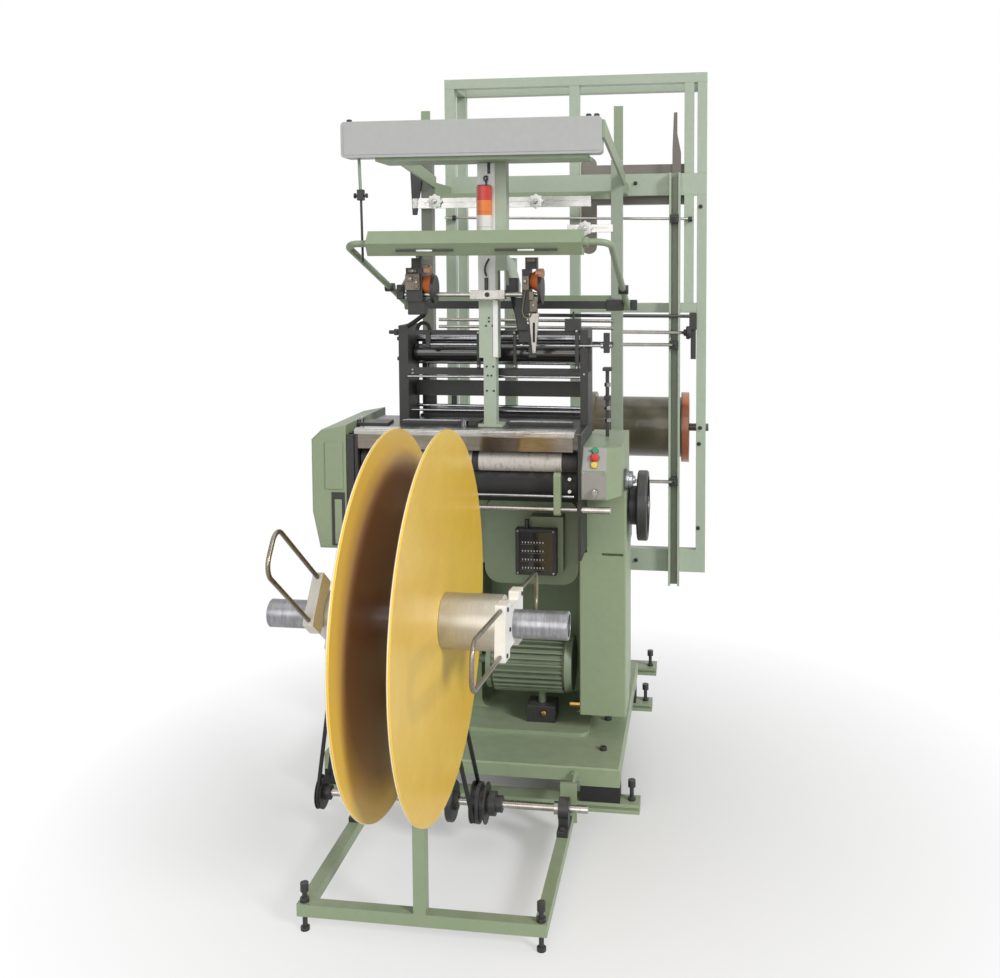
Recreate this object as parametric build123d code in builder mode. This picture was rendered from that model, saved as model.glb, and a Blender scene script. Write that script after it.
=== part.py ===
from build123d import *
import math
import os

# Narrow-fabric power loom with a two-disc take-up reel standing in front of it.
# Axes: X to the right, Y back into the loom, Z up. The sizes below are laid out from
# the floor straight under the reel's axle, and the finished pieces are then moved so
# that the origin lies under the middle of the front floor rail's depth.

# driving sizes, in millimetres
BAR = 30.0               # square tube of the take-up stand
STAND_W = 600.0          # width of the stand over its tubes
STAND_L = 500.0          # how far back the side tubes reach
BAR_TOP = 70.0           # height of the top face of the floor tubes

AXLE_Z = 768.0           # height of the reel's axle
AXLE_D = 65.0
AXLE_L = 704.0
DISC_D = 872.0
DISC_T = 7.0
DISC_GAP = 114.0         # clear width between the two discs
CORE_D = 127.0
CORE_L = 139.0
BLOCK_L = 226.0          # nylon end block, along the wire arms
BLOCK_H = 124.0
BLOCK_T = 24.0
ARM_REACH = 400.0        # from the axle's centre to the end of a wire arm
ARM_W = 100.0            # between the two legs of a wire arm
ARM_D = 10.0
RIGHT_TILT = 6.4         # how far the right arms are turned, in degrees
LEFT_TILT = 37.0

SHAFT_Y = 411.0          # low cross shaft
SHAFT_Z = 127.0
SHAFT_D = 20.0
WHEEL_D = 108.0
BELT_X = 44.0            # plane of the reel belt
SIDE_BELT_X = -389.0     # plane of the long belt at the left
BELT_W = 9.0
GROOVE_W = 10.0
RUN_FIT = 0.05           # radial clearance of turning shafts
BELT_GAP = 0.4           # clearance between a belt and its groove

RAIL_H = 28.0
RAIL_D = 60.0
RAIL_FRONT = 645.0
RAIL_MID = 1367.0
RAIL_REAR = 1702.0
RAIL_LEFT = -492.0
RAIL_RIGHT = 472.0
PAD_H = 46.0
BASE_FRONT = 648.0
BASE_BACK = 1490.0
BASE_LEFT = -470.0
BASE_RIGHT = 415.0
BASE_TOP = 128.0
BASE_T = 41.0

BODY_LEFT = -402.0
SHOULDER = 24.0          # how far the side plate stands out past the body
BODY_FRONT = 1005.0
BODY_BACK = 1330.0
BODY_TOP = 1000.0
COVER_SPLIT = 704.0      # height where the lower right cover ends
PLATE_T = 10.0           # black side plates
PLATE_L = -378.0         # outer face of the left side plate
PLATE_R = 300.0          # outer face of the right side plate
BODY_RIGHT = PLATE_R - SHOULDER
PLATE_FRONT = 700.0
BREAST_TOP = 1092.0
BREAST_T = 6.0

ROLL_Y = 770.0           # rubber take-up roller
ROLL_Z = 925.0
ROLL_D = 98.0
PRESS_Y = 745.0          # cloth-covered press roller
PRESS_Z = 1001.0
PRESS_D = 60.0
LEVER_Y = 690.0
LEVER_Z = 872.0
LEVER_ROD_D = 12.0

HAND_Y = 950.0           # main shaft and handwheel
HAND_Z = 832.0
HAND_D = 216.0
MAIN_D = 30.0

COL_X = 11.0             # centre column
COL_Y = 800.0
UPRIGHT_X = 342.0        # rear uprights
UPRIGHT_Y = 1445.0
UPRIGHT = 40.0
REAR_POST_X = -40.0
CREEL_Y = 1742.0
BEAM_Y = 1925.0          # warp beam
BEAM_Z = 930.0

axle_r = AXLE_D / 2
disc_x = DISC_GAP / 2
core_x = disc_x + DISC_T
block_x = core_x + CORE_L
shaft_r = SHAFT_D / 2
post_top = AXLE_Z - 70
BOLT_X = STAND_W / 2 - BAR / 2   # sideways place of the side tubes and levelling bolts
wheel_r = WHEEL_D / 2
groove_depth = 10.0
side_wheel_r = 45.0
roll_wheel_r = 45.0
axle_wheel_r = 50.0

# take-up stand
with BuildPart() as take_up_stand:
    with Locations((0, 0, BAR_TOP - BAR / 2)):
        Box(STAND_W, BAR, BAR)
    with Locations((-BOLT_X, BAR / 2, BAR_TOP - BAR / 2), (BOLT_X, BAR / 2, BAR_TOP - BAR / 2)):
        Box(BAR, STAND_L - BAR / 2, BAR, align=(Align.CENTER, Align.MIN, Align.CENTER))
    with Locations((0, 0, BAR_TOP)):
        Box(BAR, BAR, post_top - BAR_TOP, align=(Align.CENTER, Align.CENTER, Align.MIN))
    # upright plates at the back ends, with the tie rods to the loom's base
    with Locations((-BOLT_X, STAND_L, BAR_TOP - BAR), (BOLT_X, STAND_L, BAR_TOP - BAR)):
        Box(46, 8, 112, align=(Align.CENTER, Align.MIN, Align.MIN))
    with Locations(Plane.XZ.offset(-STAND_L - 8)):
        with Locations((-BOLT_X, 107), (BOLT_X, 107)):
            Cylinder(7, BASE_FRONT - STAND_L - 8, align=(Align.CENTER, Align.CENTER, Align.MAX))
            Cylinder(12, 10, align=(Align.CENTER, Align.CENTER, Align.MAX))
    with Locations(Plane.XZ.offset(-BASE_FRONT)):
        with Locations((-BOLT_X, 107), (BOLT_X, 107)):
            Cylinder(12, 10, align=(Align.CENTER, Align.CENTER, Align.MIN))
    with Locations((-BOLT_X, 0, 0), (BOLT_X, 0, 0)):
        Hole(6, depth=400)
take_up_stand.part.label = "take_up_stand"

# levelling bolts
with BuildPart() as levelling_bolts:
    with Locations((-BOLT_X, 0, 0), (BOLT_X, 0, 0)):
        Cylinder(6, 112, align=(Align.CENTER, Align.CENTER, Align.MIN))
        Cylinder(11, 8, align=(Align.CENTER, Align.CENTER, Align.MIN))
    with Locations((-BOLT_X, 0, BAR_TOP), (BOLT_X, 0, BAR_TOP)):
        Cylinder(11, 9, align=(Align.CENTER, Align.CENTER, Align.MIN))
    with Locations((-BOLT_X, 0, 96), (BOLT_X, 0, 96)):
        Cylinder(10, 20, align=(Align.CENTER, Align.CENTER, Align.MIN))
    for rail_y in (RAIL_FRONT, RAIL_MID, RAIL_REAR):
        with Locations((RAIL_RIGHT - 24, rail_y + 30, 0)):
            Cylinder(6, 80, align=(Align.CENTER, Align.CENTER, Align.MIN))
        with Locations((RAIL_RIGHT - 24, rail_y + 30, RAIL_H)):
            Cylinder(11, 8, align=(Align.CENTER, Align.CENTER, Align.MIN))
        with Locations((RAIL_RIGHT - 24, rail_y + 30, 68)):
            Cylinder(11, 20, align=(Align.CENTER, Align.CENTER, Align.MIN))
levelling_bolts.part.label = "levelling_bolts"

# bearings of the low shaft
with BuildPart() as pillow_blocks:
    for side in (-1, 1):
        with Locations((side * BOLT_X, SHAFT_Y, BAR_TOP)):
            Box(BAR, 92, 13, align=(Align.CENTER, Align.CENTER, Align.MIN))
            Box(26, 46, SHAFT_Z - BAR_TOP, align=(Align.CENTER, Align.CENTER, Align.MIN))
        with Locations(Plane.YZ.offset(side * BOLT_X)):
            with Locations((SHAFT_Y, SHAFT_Z)):
                Cylinder(29, 28)
    with Locations(Plane.YZ):
        with Locations((SHAFT_Y, SHAFT_Z)):
            Cylinder(shaft_r + RUN_FIT, 900, mode=Mode.SUBTRACT)
    for side in (-1, 1):
        with Locations(
            (side * BOLT_X, SHAFT_Y - 36, BAR_TOP + 13),
            (side * BOLT_X, SHAFT_Y + 36, BAR_TOP + 13),
        ):
            Cylinder(7, 8, align=(Align.CENTER, Align.CENTER, Align.MIN))
pillow_blocks.part.label = "pillow_blocks"

# low cross shaft and its wheels
with BuildPart() as transmission_shaft:
    with Locations(Plane.YZ.offset(-400)):
        with Locations((SHAFT_Y, SHAFT_Z)):
            Cylinder(shaft_r, 750, align=(Align.CENTER, Align.CENTER, Align.MIN))
    for side in (-1, 1):
        with Locations(Plane.YZ.offset(side * (BOLT_X - 20.5))):
            with Locations((SHAFT_Y, SHAFT_Z)):
                Cylinder(17, 12)
    chamfer(transmission_shaft.edges().filter_by(GeomType.CIRCLE).sort_by(Axis.X)[-1], 1.5)
transmission_shaft.part.label = "transmission_shaft"

with BuildPart() as plain_wheel:
    with Locations(Plane.YZ.offset(-22)):
        with Locations((SHAFT_Y, SHAFT_Z)):
            Cylinder(wheel_r, 20)
            Cylinder(24, 36)
            Cylinder(shaft_r, 60, mode=Mode.SUBTRACT)
    chamfer(plain_wheel.edges().filter_by(GeomType.CIRCLE).group_by(SortBy.RADIUS)[-1], 3)
plain_wheel.part.label = "plain_wheel"

groove_step = 22.0
with BuildPart() as double_pulley:
    with BuildSketch(Plane.XZ.offset(-SHAFT_Y)):
        with BuildLine():
            Polyline(
                (BELT_X - 10, SHAFT_Z + shaft_r),
                (BELT_X - 10, SHAFT_Z + wheel_r),
                (BELT_X - 6.5, SHAFT_Z + wheel_r),
                (BELT_X - GROOVE_W / 2, SHAFT_Z + wheel_r - groove_depth),
                (BELT_X + GROOVE_W / 2, SHAFT_Z + wheel_r - groove_depth),
                (BELT_X + 6.5, SHAFT_Z + wheel_r),
                (BELT_X + groove_step - 6.5, SHAFT_Z + wheel_r),
                (BELT_X + groove_step - GROOVE_W / 2, SHAFT_Z + wheel_r - groove_depth),
                (BELT_X + groove_step + GROOVE_W / 2, SHAFT_Z + wheel_r - groove_depth),
                (BELT_X + groove_step + 6.5, SHAFT_Z + wheel_r),
                (BELT_X + groove_step + 10, SHAFT_Z + wheel_r),
                (BELT_X + groove_step + 10, SHAFT_Z + 24),
                (BELT_X + groove_step + 16, SHAFT_Z + 24),
                (BELT_X + groove_step + 16, SHAFT_Z + 32),
                (BELT_X + groove_step + 34, SHAFT_Z + 32),
                (BELT_X + groove_step + 34, SHAFT_Z + 22),
                (BELT_X + groove_step + 52, SHAFT_Z + 22),
                (BELT_X + groove_step + 52, SHAFT_Z + shaft_r),
                close=True,
            )
        make_face()
    revolve(axis=Axis((0, SHAFT_Y, SHAFT_Z), (1, 0, 0)))
double_pulley.part.label = "double_pulley"

with BuildPart() as side_pulley:
    with BuildSketch(Plane.XZ.offset(-SHAFT_Y)):
        with BuildLine():
            Polyline(
                (SIDE_BELT_X - 8, SHAFT_Z + shaft_r),
                (SIDE_BELT_X - 8, SHAFT_Z + side_wheel_r),
                (SIDE_BELT_X - 6.5, SHAFT_Z + side_wheel_r),
                (SIDE_BELT_X - GROOVE_W / 2, SHAFT_Z + side_wheel_r - groove_depth),
                (SIDE_BELT_X + GROOVE_W / 2, SHAFT_Z + side_wheel_r - groove_depth),
                (SIDE_BELT_X + 6.5, SHAFT_Z + side_wheel_r),
                (SIDE_BELT_X + 8, SHAFT_Z + side_wheel_r),
                (SIDE_BELT_X + 8, SHAFT_Z + 20),
                (SIDE_BELT_X + 26, SHAFT_Z + 20),
                (SIDE_BELT_X + 26, SHAFT_Z + shaft_r),
                close=True,
            )
        make_face()
    revolve(axis=Axis((0, SHAFT_Y, SHAFT_Z), (1, 0, 0)))
side_pulley.part.label = "side_pulley"

# the two belts
low_in = wheel_r - groove_depth + BELT_GAP
low_out = wheel_r - 1
high_in = axle_wheel_r - groove_depth + BELT_GAP
high_out = axle_wheel_r - 1
run_y = SHAFT_Y
run_z = SHAFT_Z - AXLE_Z
run_len = math.hypot(run_y, run_z)
run_ang = math.atan2(run_z, run_y)
with BuildPart() as reel_belt:
    with BuildSketch(Plane.YZ.offset(BELT_X - BELT_W / 2)):
        spread = math.acos((high_out - low_out) / run_len)
        up_y = math.cos(run_ang + spread)
        up_z = math.sin(run_ang + spread)
        down_y = math.cos(run_ang - spread)
        down_z = math.sin(run_ang - spread)
        with Locations((0, AXLE_Z)):
            Circle(high_out)
        with Locations((SHAFT_Y, SHAFT_Z)):
            Circle(low_out)
        with BuildLine():
            Polyline(
                (high_out * up_y, AXLE_Z + high_out * up_z),
                (SHAFT_Y + low_out * up_y, SHAFT_Z + low_out * up_z),
                (SHAFT_Y + low_out * down_y, SHAFT_Z + low_out * down_z),
                (high_out * down_y, AXLE_Z + high_out * down_z),
                close=True,
            )
        make_face()
    extrude(amount=BELT_W)
    with BuildSketch(Plane.YZ.offset(BELT_X - BELT_W / 2)):
        spread_in = math.acos((high_in - low_in) / run_len)
        up_in_y = math.cos(run_ang + spread_in)
        up_in_z = math.sin(run_ang + spread_in)
        down_in_y = math.cos(run_ang - spread_in)
        down_in_z = math.sin(run_ang - spread_in)
        with Locations((0, AXLE_Z)):
            Circle(high_in)
        with Locations((SHAFT_Y, SHAFT_Z)):
            Circle(low_in)
        with BuildLine():
            Polyline(
                (high_in * up_in_y, AXLE_Z + high_in * up_in_z),
                (SHAFT_Y + low_in * up_in_y, SHAFT_Z + low_in * up_in_z),
                (SHAFT_Y + low_in * down_in_y, SHAFT_Z + low_in * down_in_z),
                (high_in * down_in_y, AXLE_Z + high_in * down_in_z),
                close=True,
            )
        make_face()
    extrude(amount=BELT_W, mode=Mode.SUBTRACT)
reel_belt.part.label = "reel_belt"

side_in = side_wheel_r - groove_depth + BELT_GAP
side_out = side_wheel_r - 1
rise_y = ROLL_Y - SHAFT_Y
rise_z = ROLL_Z - SHAFT_Z
rise_ang = math.atan2(rise_z, rise_y) + math.pi / 2
off_y = math.cos(rise_ang)
off_z = math.sin(rise_ang)
with BuildPart() as side_belt:
    with BuildSketch(Plane.YZ.offset(SIDE_BELT_X - BELT_W / 2)):
        with Locations((SHAFT_Y, SHAFT_Z), (ROLL_Y, ROLL_Z)):
            Circle(side_out)
        with BuildLine():
            Polyline(
                (SHAFT_Y + side_out * off_y, SHAFT_Z + side_out * off_z),
                (ROLL_Y + side_out * off_y, ROLL_Z + side_out * off_z),
                (ROLL_Y - side_out * off_y, ROLL_Z - side_out * off_z),
                (SHAFT_Y - side_out * off_y, SHAFT_Z - side_out * off_z),
                close=True,
            )
        make_face()
    extrude(amount=BELT_W)
    with BuildSketch(Plane.YZ.offset(SIDE_BELT_X - BELT_W / 2)):
        with Locations((SHAFT_Y, SHAFT_Z), (ROLL_Y, ROLL_Z)):
            Circle(side_in)
        with BuildLine():
            Polyline(
                (SHAFT_Y + side_in * off_y, SHAFT_Z + side_in * off_z),
                (ROLL_Y + side_in * off_y, ROLL_Z + side_in * off_z),
                (ROLL_Y - side_in * off_y, ROLL_Z - side_in * off_z),
                (SHAFT_Y - side_in * off_y, SHAFT_Z - side_in * off_z),
                close=True,
            )
        make_face()
    extrude(amount=BELT_W, mode=Mode.SUBTRACT)
side_belt.part.label = "side_belt"

# the reel
with BuildPart() as mandrel:
    with Locations(Plane.YZ):
        with Locations((0, AXLE_Z)):
            Cylinder(axle_r, AXLE_L)
    chamfer(mandrel.edges().filter_by(GeomType.CIRCLE), 2)
    for side in (-1, 1):
        with Locations(Plane.YZ.offset(side * (AXLE_L / 2 - 6))):
            with Locations((0, AXLE_Z)):
                Cylinder(axle_r - 7, 12, mode=Mode.SUBTRACT)
mandrel.part.label = "mandrel"

with BuildPart() as mandrel_bearing:
    with Locations((0, 0, post_top)):
        Box(36, 60, 34, align=(Align.CENTER, Align.CENTER, Align.MIN))
    with Locations(Plane.YZ):
        with Locations((0, AXLE_Z)):
            Cylinder(52, 36)
            Cylinder(axle_r + RUN_FIT, 60, mode=Mode.SUBTRACT)
mandrel_bearing.part.label = "mandrel_bearing"

with BuildPart() as mandrel_pulley:
    with BuildSketch(Plane.XZ):
        with BuildLine():
            Polyline(
                (BELT_X - 11, AXLE_Z + axle_r),
                (BELT_X - 11, AXLE_Z + axle_wheel_r),
                (BELT_X - 6.5, AXLE_Z + axle_wheel_r),
                (BELT_X - GROOVE_W / 2, AXLE_Z + axle_wheel_r - groove_depth),
                (BELT_X + GROOVE_W / 2, AXLE_Z + axle_wheel_r - groove_depth),
                (BELT_X + 6.5, AXLE_Z + axle_wheel_r),
                (BELT_X + 9, AXLE_Z + axle_wheel_r),
                (BELT_X + 9, AXLE_Z + axle_r),
                close=True,
            )
        make_face()
    revolve(axis=Axis((0, 0, AXLE_Z), (1, 0, 0)))
mandrel_pulley.part.label = "mandrel_pulley"

with BuildPart() as left_disc:
    with Locations(Plane.YZ.offset(-disc_x - DISC_T / 2)):
        with Locations((0, AXLE_Z)):
            Cylinder(DISC_D / 2, DISC_T)
            Cylinder(axle_r, 2 * DISC_T, mode=Mode.SUBTRACT)
    chamfer(left_disc.edges().filter_by(GeomType.CIRCLE).group_by(SortBy.RADIUS)[-1], DISC_T * 0.2)
left_disc.part.label = "left_disc"

with BuildPart() as right_disc:
    with Locations(Plane.YZ.offset(disc_x + DISC_T / 2)):
        with Locations((0, AXLE_Z)):
            Cylinder(DISC_D / 2, DISC_T)
            Cylinder(axle_r, 2 * DISC_T, mode=Mode.SUBTRACT)
    chamfer(right_disc.edges().filter_by(GeomType.CIRCLE).group_by(SortBy.RADIUS)[-1], DISC_T * 0.2)
right_disc.part.label = "right_disc"

with BuildPart() as left_core:
    with Locations(Plane.YZ.offset(-core_x - CORE_L / 2)):
        with Locations((0, AXLE_Z)):
            Cylinder(CORE_D / 2, CORE_L)
            Cylinder(axle_r, CORE_L, mode=Mode.SUBTRACT)
    chamfer(left_core.edges().filter_by(GeomType.CIRCLE).group_by(SortBy.RADIUS)[-1], 1)
left_core.part.label = "left_core"

with BuildPart() as right_core:
    with Locations(Plane.YZ.offset(core_x + CORE_L / 2)):
        with Locations((0, AXLE_Z)):
            Cylinder(CORE_D / 2, CORE_L)
            Cylinder(axle_r, CORE_L, mode=Mode.SUBTRACT)
    chamfer(right_core.edges().filter_by(GeomType.CIRCLE).group_by(SortBy.RADIUS)[-1], 1)
right_core.part.label = "right_core"

# planes that turn with the wire arms: their x runs along the front arm
right_dir = (0, -math.cos(math.radians(RIGHT_TILT)), math.sin(math.radians(RIGHT_TILT)))
left_dir = (0, -math.cos(math.radians(LEFT_TILT)), math.sin(math.radians(LEFT_TILT)))
right_mid = Plane(origin=(block_x + BLOCK_T / 2, 0, AXLE_Z), x_dir=right_dir, z_dir=(1, 0, 0))
left_mid = Plane(origin=(-block_x - BLOCK_T / 2, 0, AXLE_Z), x_dir=left_dir, z_dir=(1, 0, 0))

with BuildPart() as right_block:
    with BuildSketch(right_mid.offset(-BLOCK_T / 2)):
        Rectangle(BLOCK_L, BLOCK_H * 0.7)
        with Locations((-BLOCK_L / 2 + 30, 0), (BLOCK_L / 2 - 30, 0)):
            Rectangle(60, BLOCK_H)
        Circle(axle_r, mode=Mode.SUBTRACT)
    extrude(amount=BLOCK_T)
    chamfer(right_block.edges().filter_by(Axis.X), 3)
right_block.part.label = "right_block"

with BuildPart() as left_block:
    with BuildSketch(left_mid.offset(-BLOCK_T / 2)):
        Rectangle(BLOCK_L, BLOCK_H * 0.7)
        with Locations((-BLOCK_L / 2 + 30, 0), (BLOCK_L / 2 - 30, 0)):
            Rectangle(60, BLOCK_H)
        Circle(axle_r, mode=Mode.SUBTRACT)
    extrude(amount=BLOCK_T)
    chamfer(left_block.edges().filter_by(Axis.X), 3)
left_block.part.label = "left_block"

arm_start = BLOCK_L / 2
with BuildPart() as right_arms:
    for sense in (-1, 1):
        with BuildLine(right_mid):
            FilletPolyline(
                (sense * arm_start, ARM_W / 2),
                (sense * ARM_REACH, ARM_W / 2),
                (sense * ARM_REACH, -ARM_W / 2),
                (sense * arm_start, -ARM_W / 2),
                radius=34,
            )
        foot = right_mid.from_local_coords((sense * arm_start, ARM_W / 2, 0))
        with BuildSketch(Plane(origin=foot, z_dir=right_dir)):
            Circle(ARM_D / 2)
        sweep()
right_arms.part.label = "right_arms"

with BuildPart() as left_arms:
    for sense in (-1, 1):
        with BuildLine(left_mid):
            FilletPolyline(
                (sense * arm_start, ARM_W / 2),
                (sense * ARM_REACH, ARM_W / 2),
                (sense * ARM_REACH, -ARM_W / 2),
                (sense * arm_start, -ARM_W / 2),
                radius=34,
            )
        foot = left_mid.from_local_coords((sense * arm_start, ARM_W / 2, 0))
        with BuildSketch(Plane(origin=foot, z_dir=left_dir)):
            Circle(ARM_D / 2)
        sweep()
left_arms.part.label = "left_arms"

# floor rails, pads and base
with BuildPart() as floor_rails:
    for rail_y, rail_d in ((RAIL_FRONT, RAIL_D), (RAIL_MID, RAIL_D), (RAIL_REAR, RAIL_D + 20)):
        with Locations((RAIL_LEFT, rail_y, 0)):
            Box(RAIL_RIGHT - RAIL_LEFT, rail_d, RAIL_H, align=(Align.MIN, Align.MIN, Align.MIN))
        with Locations((RAIL_LEFT, rail_y, RAIL_H * 0.4)):
            Box(RAIL_RIGHT - RAIL_LEFT, 6, 7, align=(Align.MIN, Align.MIN, Align.MIN), mode=Mode.SUBTRACT)
        with Locations((RAIL_RIGHT - 24, rail_y + 30, 0)):
            Cylinder(6, 2 * RAIL_H, mode=Mode.SUBTRACT)
floor_rails.part.label = "floor_rails"

pad_w = 115.0
pad_front_d = RAIL_FRONT + RAIL_D - BASE_FRONT
with BuildPart() as rubber_pads:
    for pad_x in (BASE_LEFT, BASE_RIGHT - pad_w):
        with Locations((pad_x, BASE_FRONT, RAIL_H)):
            Box(pad_w, pad_front_d, PAD_H, align=(Align.MIN, Align.MIN, Align.MIN))
        with Locations((pad_x, RAIL_MID, RAIL_H)):
            Box(pad_w, RAIL_D, PAD_H, align=(Align.MIN, Align.MIN, Align.MIN))
rubber_pads.part.label = "rubber_pads"

base_low = BASE_TOP - BASE_T
with BuildPart() as base_casting:
    with Locations((BASE_LEFT, BASE_FRONT, base_low)):
        Box(BASE_RIGHT - BASE_LEFT, BASE_BACK - BASE_FRONT, BASE_T, align=(Align.MIN, Align.MIN, Align.MIN))
    chamfer(base_casting.edges().group_by(Axis.Z)[-1], 4)
    for pad_x in (BASE_LEFT, BASE_RIGHT - pad_w):
        with Locations((pad_x, BASE_FRONT, RAIL_H + PAD_H)):
            Box(pad_w, pad_front_d, base_low - RAIL_H - PAD_H, align=(Align.MIN, Align.MIN, Align.MIN))
        with Locations((pad_x, RAIL_MID, RAIL_H + PAD_H)):
            Box(pad_w, RAIL_D, base_low - RAIL_H - PAD_H, align=(Align.MIN, Align.MIN, Align.MIN))
base_casting.part.label = "base_casting"

# loom body with its motor bay
lift_x = 150.0
lift_r = 5.0
heald_y = (1040.0, 1066.0)
bay_top = 625.0
bay_left = -62.0
bay_wall = 6.0
BED_FRONT = 845.0        # front edge of the bed plate under the motor
BED_T = 12.0
bed_top = BASE_TOP + BED_T
GUARD_T = 20.0           # belt guard over the motor
GUARD_LEFT = -48.0
GUARD_LOW = 556.0
GUARD_HIGH = 840.0
guard_right = BODY_RIGHT - 14
guard_front = BODY_FRONT - GUARD_T
with BuildPart() as loom_body:
    with Locations((BODY_LEFT, BODY_FRONT, BASE_TOP)):
        Box(BODY_RIGHT - BODY_LEFT, BODY_BACK - BODY_FRONT, BODY_TOP - BASE_TOP,
            align=(Align.MIN, Align.MIN, Align.MIN))
    with Locations((BODY_RIGHT, BODY_FRONT, COVER_SPLIT)):
        Box(PLATE_R - BODY_RIGHT, BODY_BACK - BODY_FRONT, BODY_TOP - COVER_SPLIT,
            align=(Align.MIN, Align.MIN, Align.MIN))
    # bed plate that reaches forward under the motor
    with BuildSketch(Plane.XY.offset(BASE_TOP)) as bed:
        with Locations(((BODY_LEFT + PLATE_R) / 2, BED_FRONT)):
            Rectangle(PLATE_R - BODY_LEFT, BODY_FRONT - BED_FRONT, align=(Align.CENTER, Align.MIN))
        fillet(bed.vertices().group_by(Axis.Y)[0], 28)
    extrude(amount=BED_T)
    # round-cornered bay for the motor, open to the front
    with BuildSketch(Plane.XZ.offset(-BODY_FRONT)):
        with Locations(((BODY_RIGHT - bay_wall + bay_left) / 2, (bay_top + bed_top) / 2)):
            RectangleRounded(BODY_RIGHT - bay_wall - bay_left, bay_top - bed_top, 30)
    extrude(amount=-170, mode=Mode.SUBTRACT)
    # belt guard with rounded corners, standing out in front of the body
    with BuildSketch(Plane.XZ.offset(-BODY_FRONT)):
        with Locations(((guard_right + GUARD_LEFT) / 2, (GUARD_HIGH + GUARD_LOW) / 2)):
            RectangleRounded(guard_right - GUARD_LEFT, GUARD_HIGH - GUARD_LOW, 56)
    extrude(amount=GUARD_T, taper=10)
    # holes for the lift rods of the heald frames
    with Locations(Plane.XY.offset(BODY_TOP)):
        with Locations(
            (-lift_x, heald_y[0]),
            (lift_x, heald_y[0]),
            (-lift_x, heald_y[1]),
            (lift_x, heald_y[1]),
        ):
            Cylinder(
                lift_r + RUN_FIT,
                110,
                align=(Align.CENTER, Align.CENTER, Align.MAX),
                mode=Mode.SUBTRACT,
            )
loom_body.part.label = "loom_body"

# side plates that carry the rollers
press_r = PRESS_D / 2
roll_r = ROLL_D / 2
with BuildPart() as left_side_plate:
    with Locations((PLATE_L, PLATE_FRONT, 600)):
        Box(PLATE_T, BODY_FRONT - PLATE_FRONT, BREAST_TOP - BREAST_T - 600,
            align=(Align.MIN, Align.MIN, Align.MIN))
    with BuildSketch(Plane.YZ.offset(PLATE_L)):
        with Locations((ROLL_Y, ROLL_Z)):
            Circle(12 + RUN_FIT)
        with Locations((PRESS_Y, PRESS_Z)):
            Circle(9 + RUN_FIT)
    extrude(amount=PLATE_T, mode=Mode.SUBTRACT)
    with Locations((PLATE_L, LEVER_Y - 13, LEVER_Z - 16)):
        Box(PLATE_T, PLATE_FRONT - LEVER_Y + 13, 32, align=(Align.MIN, Align.MIN, Align.MIN))
    with BuildSketch(Plane.YZ.offset(PLATE_L)):
        with Locations((LEVER_Y, LEVER_Z)):
            Circle(LEVER_ROD_D / 2 + RUN_FIT)
    extrude(amount=PLATE_T, mode=Mode.SUBTRACT)
left_side_plate.part.label = "left_side_plate"

with BuildPart() as right_side_plate:
    with Locations((PLATE_R - PLATE_T, PLATE_FRONT, 720)):
        Box(PLATE_T, BODY_FRONT - PLATE_FRONT, BREAST_TOP - BREAST_T - 720,
            align=(Align.MIN, Align.MIN, Align.MIN))
    with Locations((PLATE_R - PLATE_T, LEVER_Y - 13, LEVER_Z - 16)):
        Box(PLATE_T, PLATE_FRONT - LEVER_Y + 13, 32, align=(Align.MIN, Align.MIN, Align.MIN))
    with BuildSketch(Plane.YZ.offset(PLATE_R - PLATE_T)):
        with Locations((ROLL_Y, ROLL_Z)):
            Circle(12 + RUN_FIT)
        with Locations((PRESS_Y, PRESS_Z)):
            Circle(9 + RUN_FIT)
        with Locations((LEVER_Y, LEVER_Z)):
            Circle(LEVER_ROD_D / 2 + RUN_FIT)
    extrude(amount=PLATE_T, mode=Mode.SUBTRACT)
right_side_plate.part.label = "right_side_plate"

with BuildPart() as breast_plate:
    with Locations((PLATE_L, PLATE_FRONT - 4, BREAST_TOP - BREAST_T)):
        Box(PLATE_R - PLATE_L, BODY_FRONT - PLATE_FRONT + 4, BREAST_T,
            align=(Align.MIN, Align.MIN, Align.MIN))
    with Locations((PLATE_L + PLATE_T, PLATE_FRONT, BREAST_TOP - BREAST_T)):
        Box(PLATE_R - PLATE_L - 2 * PLATE_T, 5, 42, align=(Align.MIN, Align.MIN, Align.MAX))
    fillet(breast_plate.edges().filter_by(Axis.X).sort_by(Axis.Y).group_by(Axis.Y)[0], 2.5)
breast_plate.part.label = "breast_plate"

# rollers and release lever
with BuildPart() as take_up_roller:
    with Locations(Plane.YZ.offset(PLATE_L + PLATE_T + 5)):
        with Locations((ROLL_Y, ROLL_Z)):
            Cylinder(roll_r, PLATE_R - PLATE_L - 2 * PLATE_T - 10,
                     align=(Align.CENTER, Align.CENTER, Align.MIN))
    with Locations(Plane.YZ.offset(SIDE_BELT_X - 11)):
        with Locations((ROLL_Y, ROLL_Z)):
            Cylinder(12, PLATE_R - SIDE_BELT_X + 10, align=(Align.CENTER, Align.CENTER, Align.MIN))
    with BuildSketch(Plane.XZ.offset(-ROLL_Y)):
        with BuildLine():
            Polyline(
                (SIDE_BELT_X - 8, ROLL_Z + 5),
                (SIDE_BELT_X - 8, ROLL_Z + roll_wheel_r),
                (SIDE_BELT_X - 6.5, ROLL_Z + roll_wheel_r),
                (SIDE_BELT_X - GROOVE_W / 2, ROLL_Z + roll_wheel_r - groove_depth),
                (SIDE_BELT_X + GROOVE_W / 2, ROLL_Z + roll_wheel_r - groove_depth),
                (SIDE_BELT_X + 6.5, ROLL_Z + roll_wheel_r),
                (SIDE_BELT_X + 8, ROLL_Z + roll_wheel_r),
                (SIDE_BELT_X + 8, ROLL_Z + 5),
                close=True,
            )
        make_face()
    revolve(axis=Axis((0, ROLL_Y, ROLL_Z), (1, 0, 0)))
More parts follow.
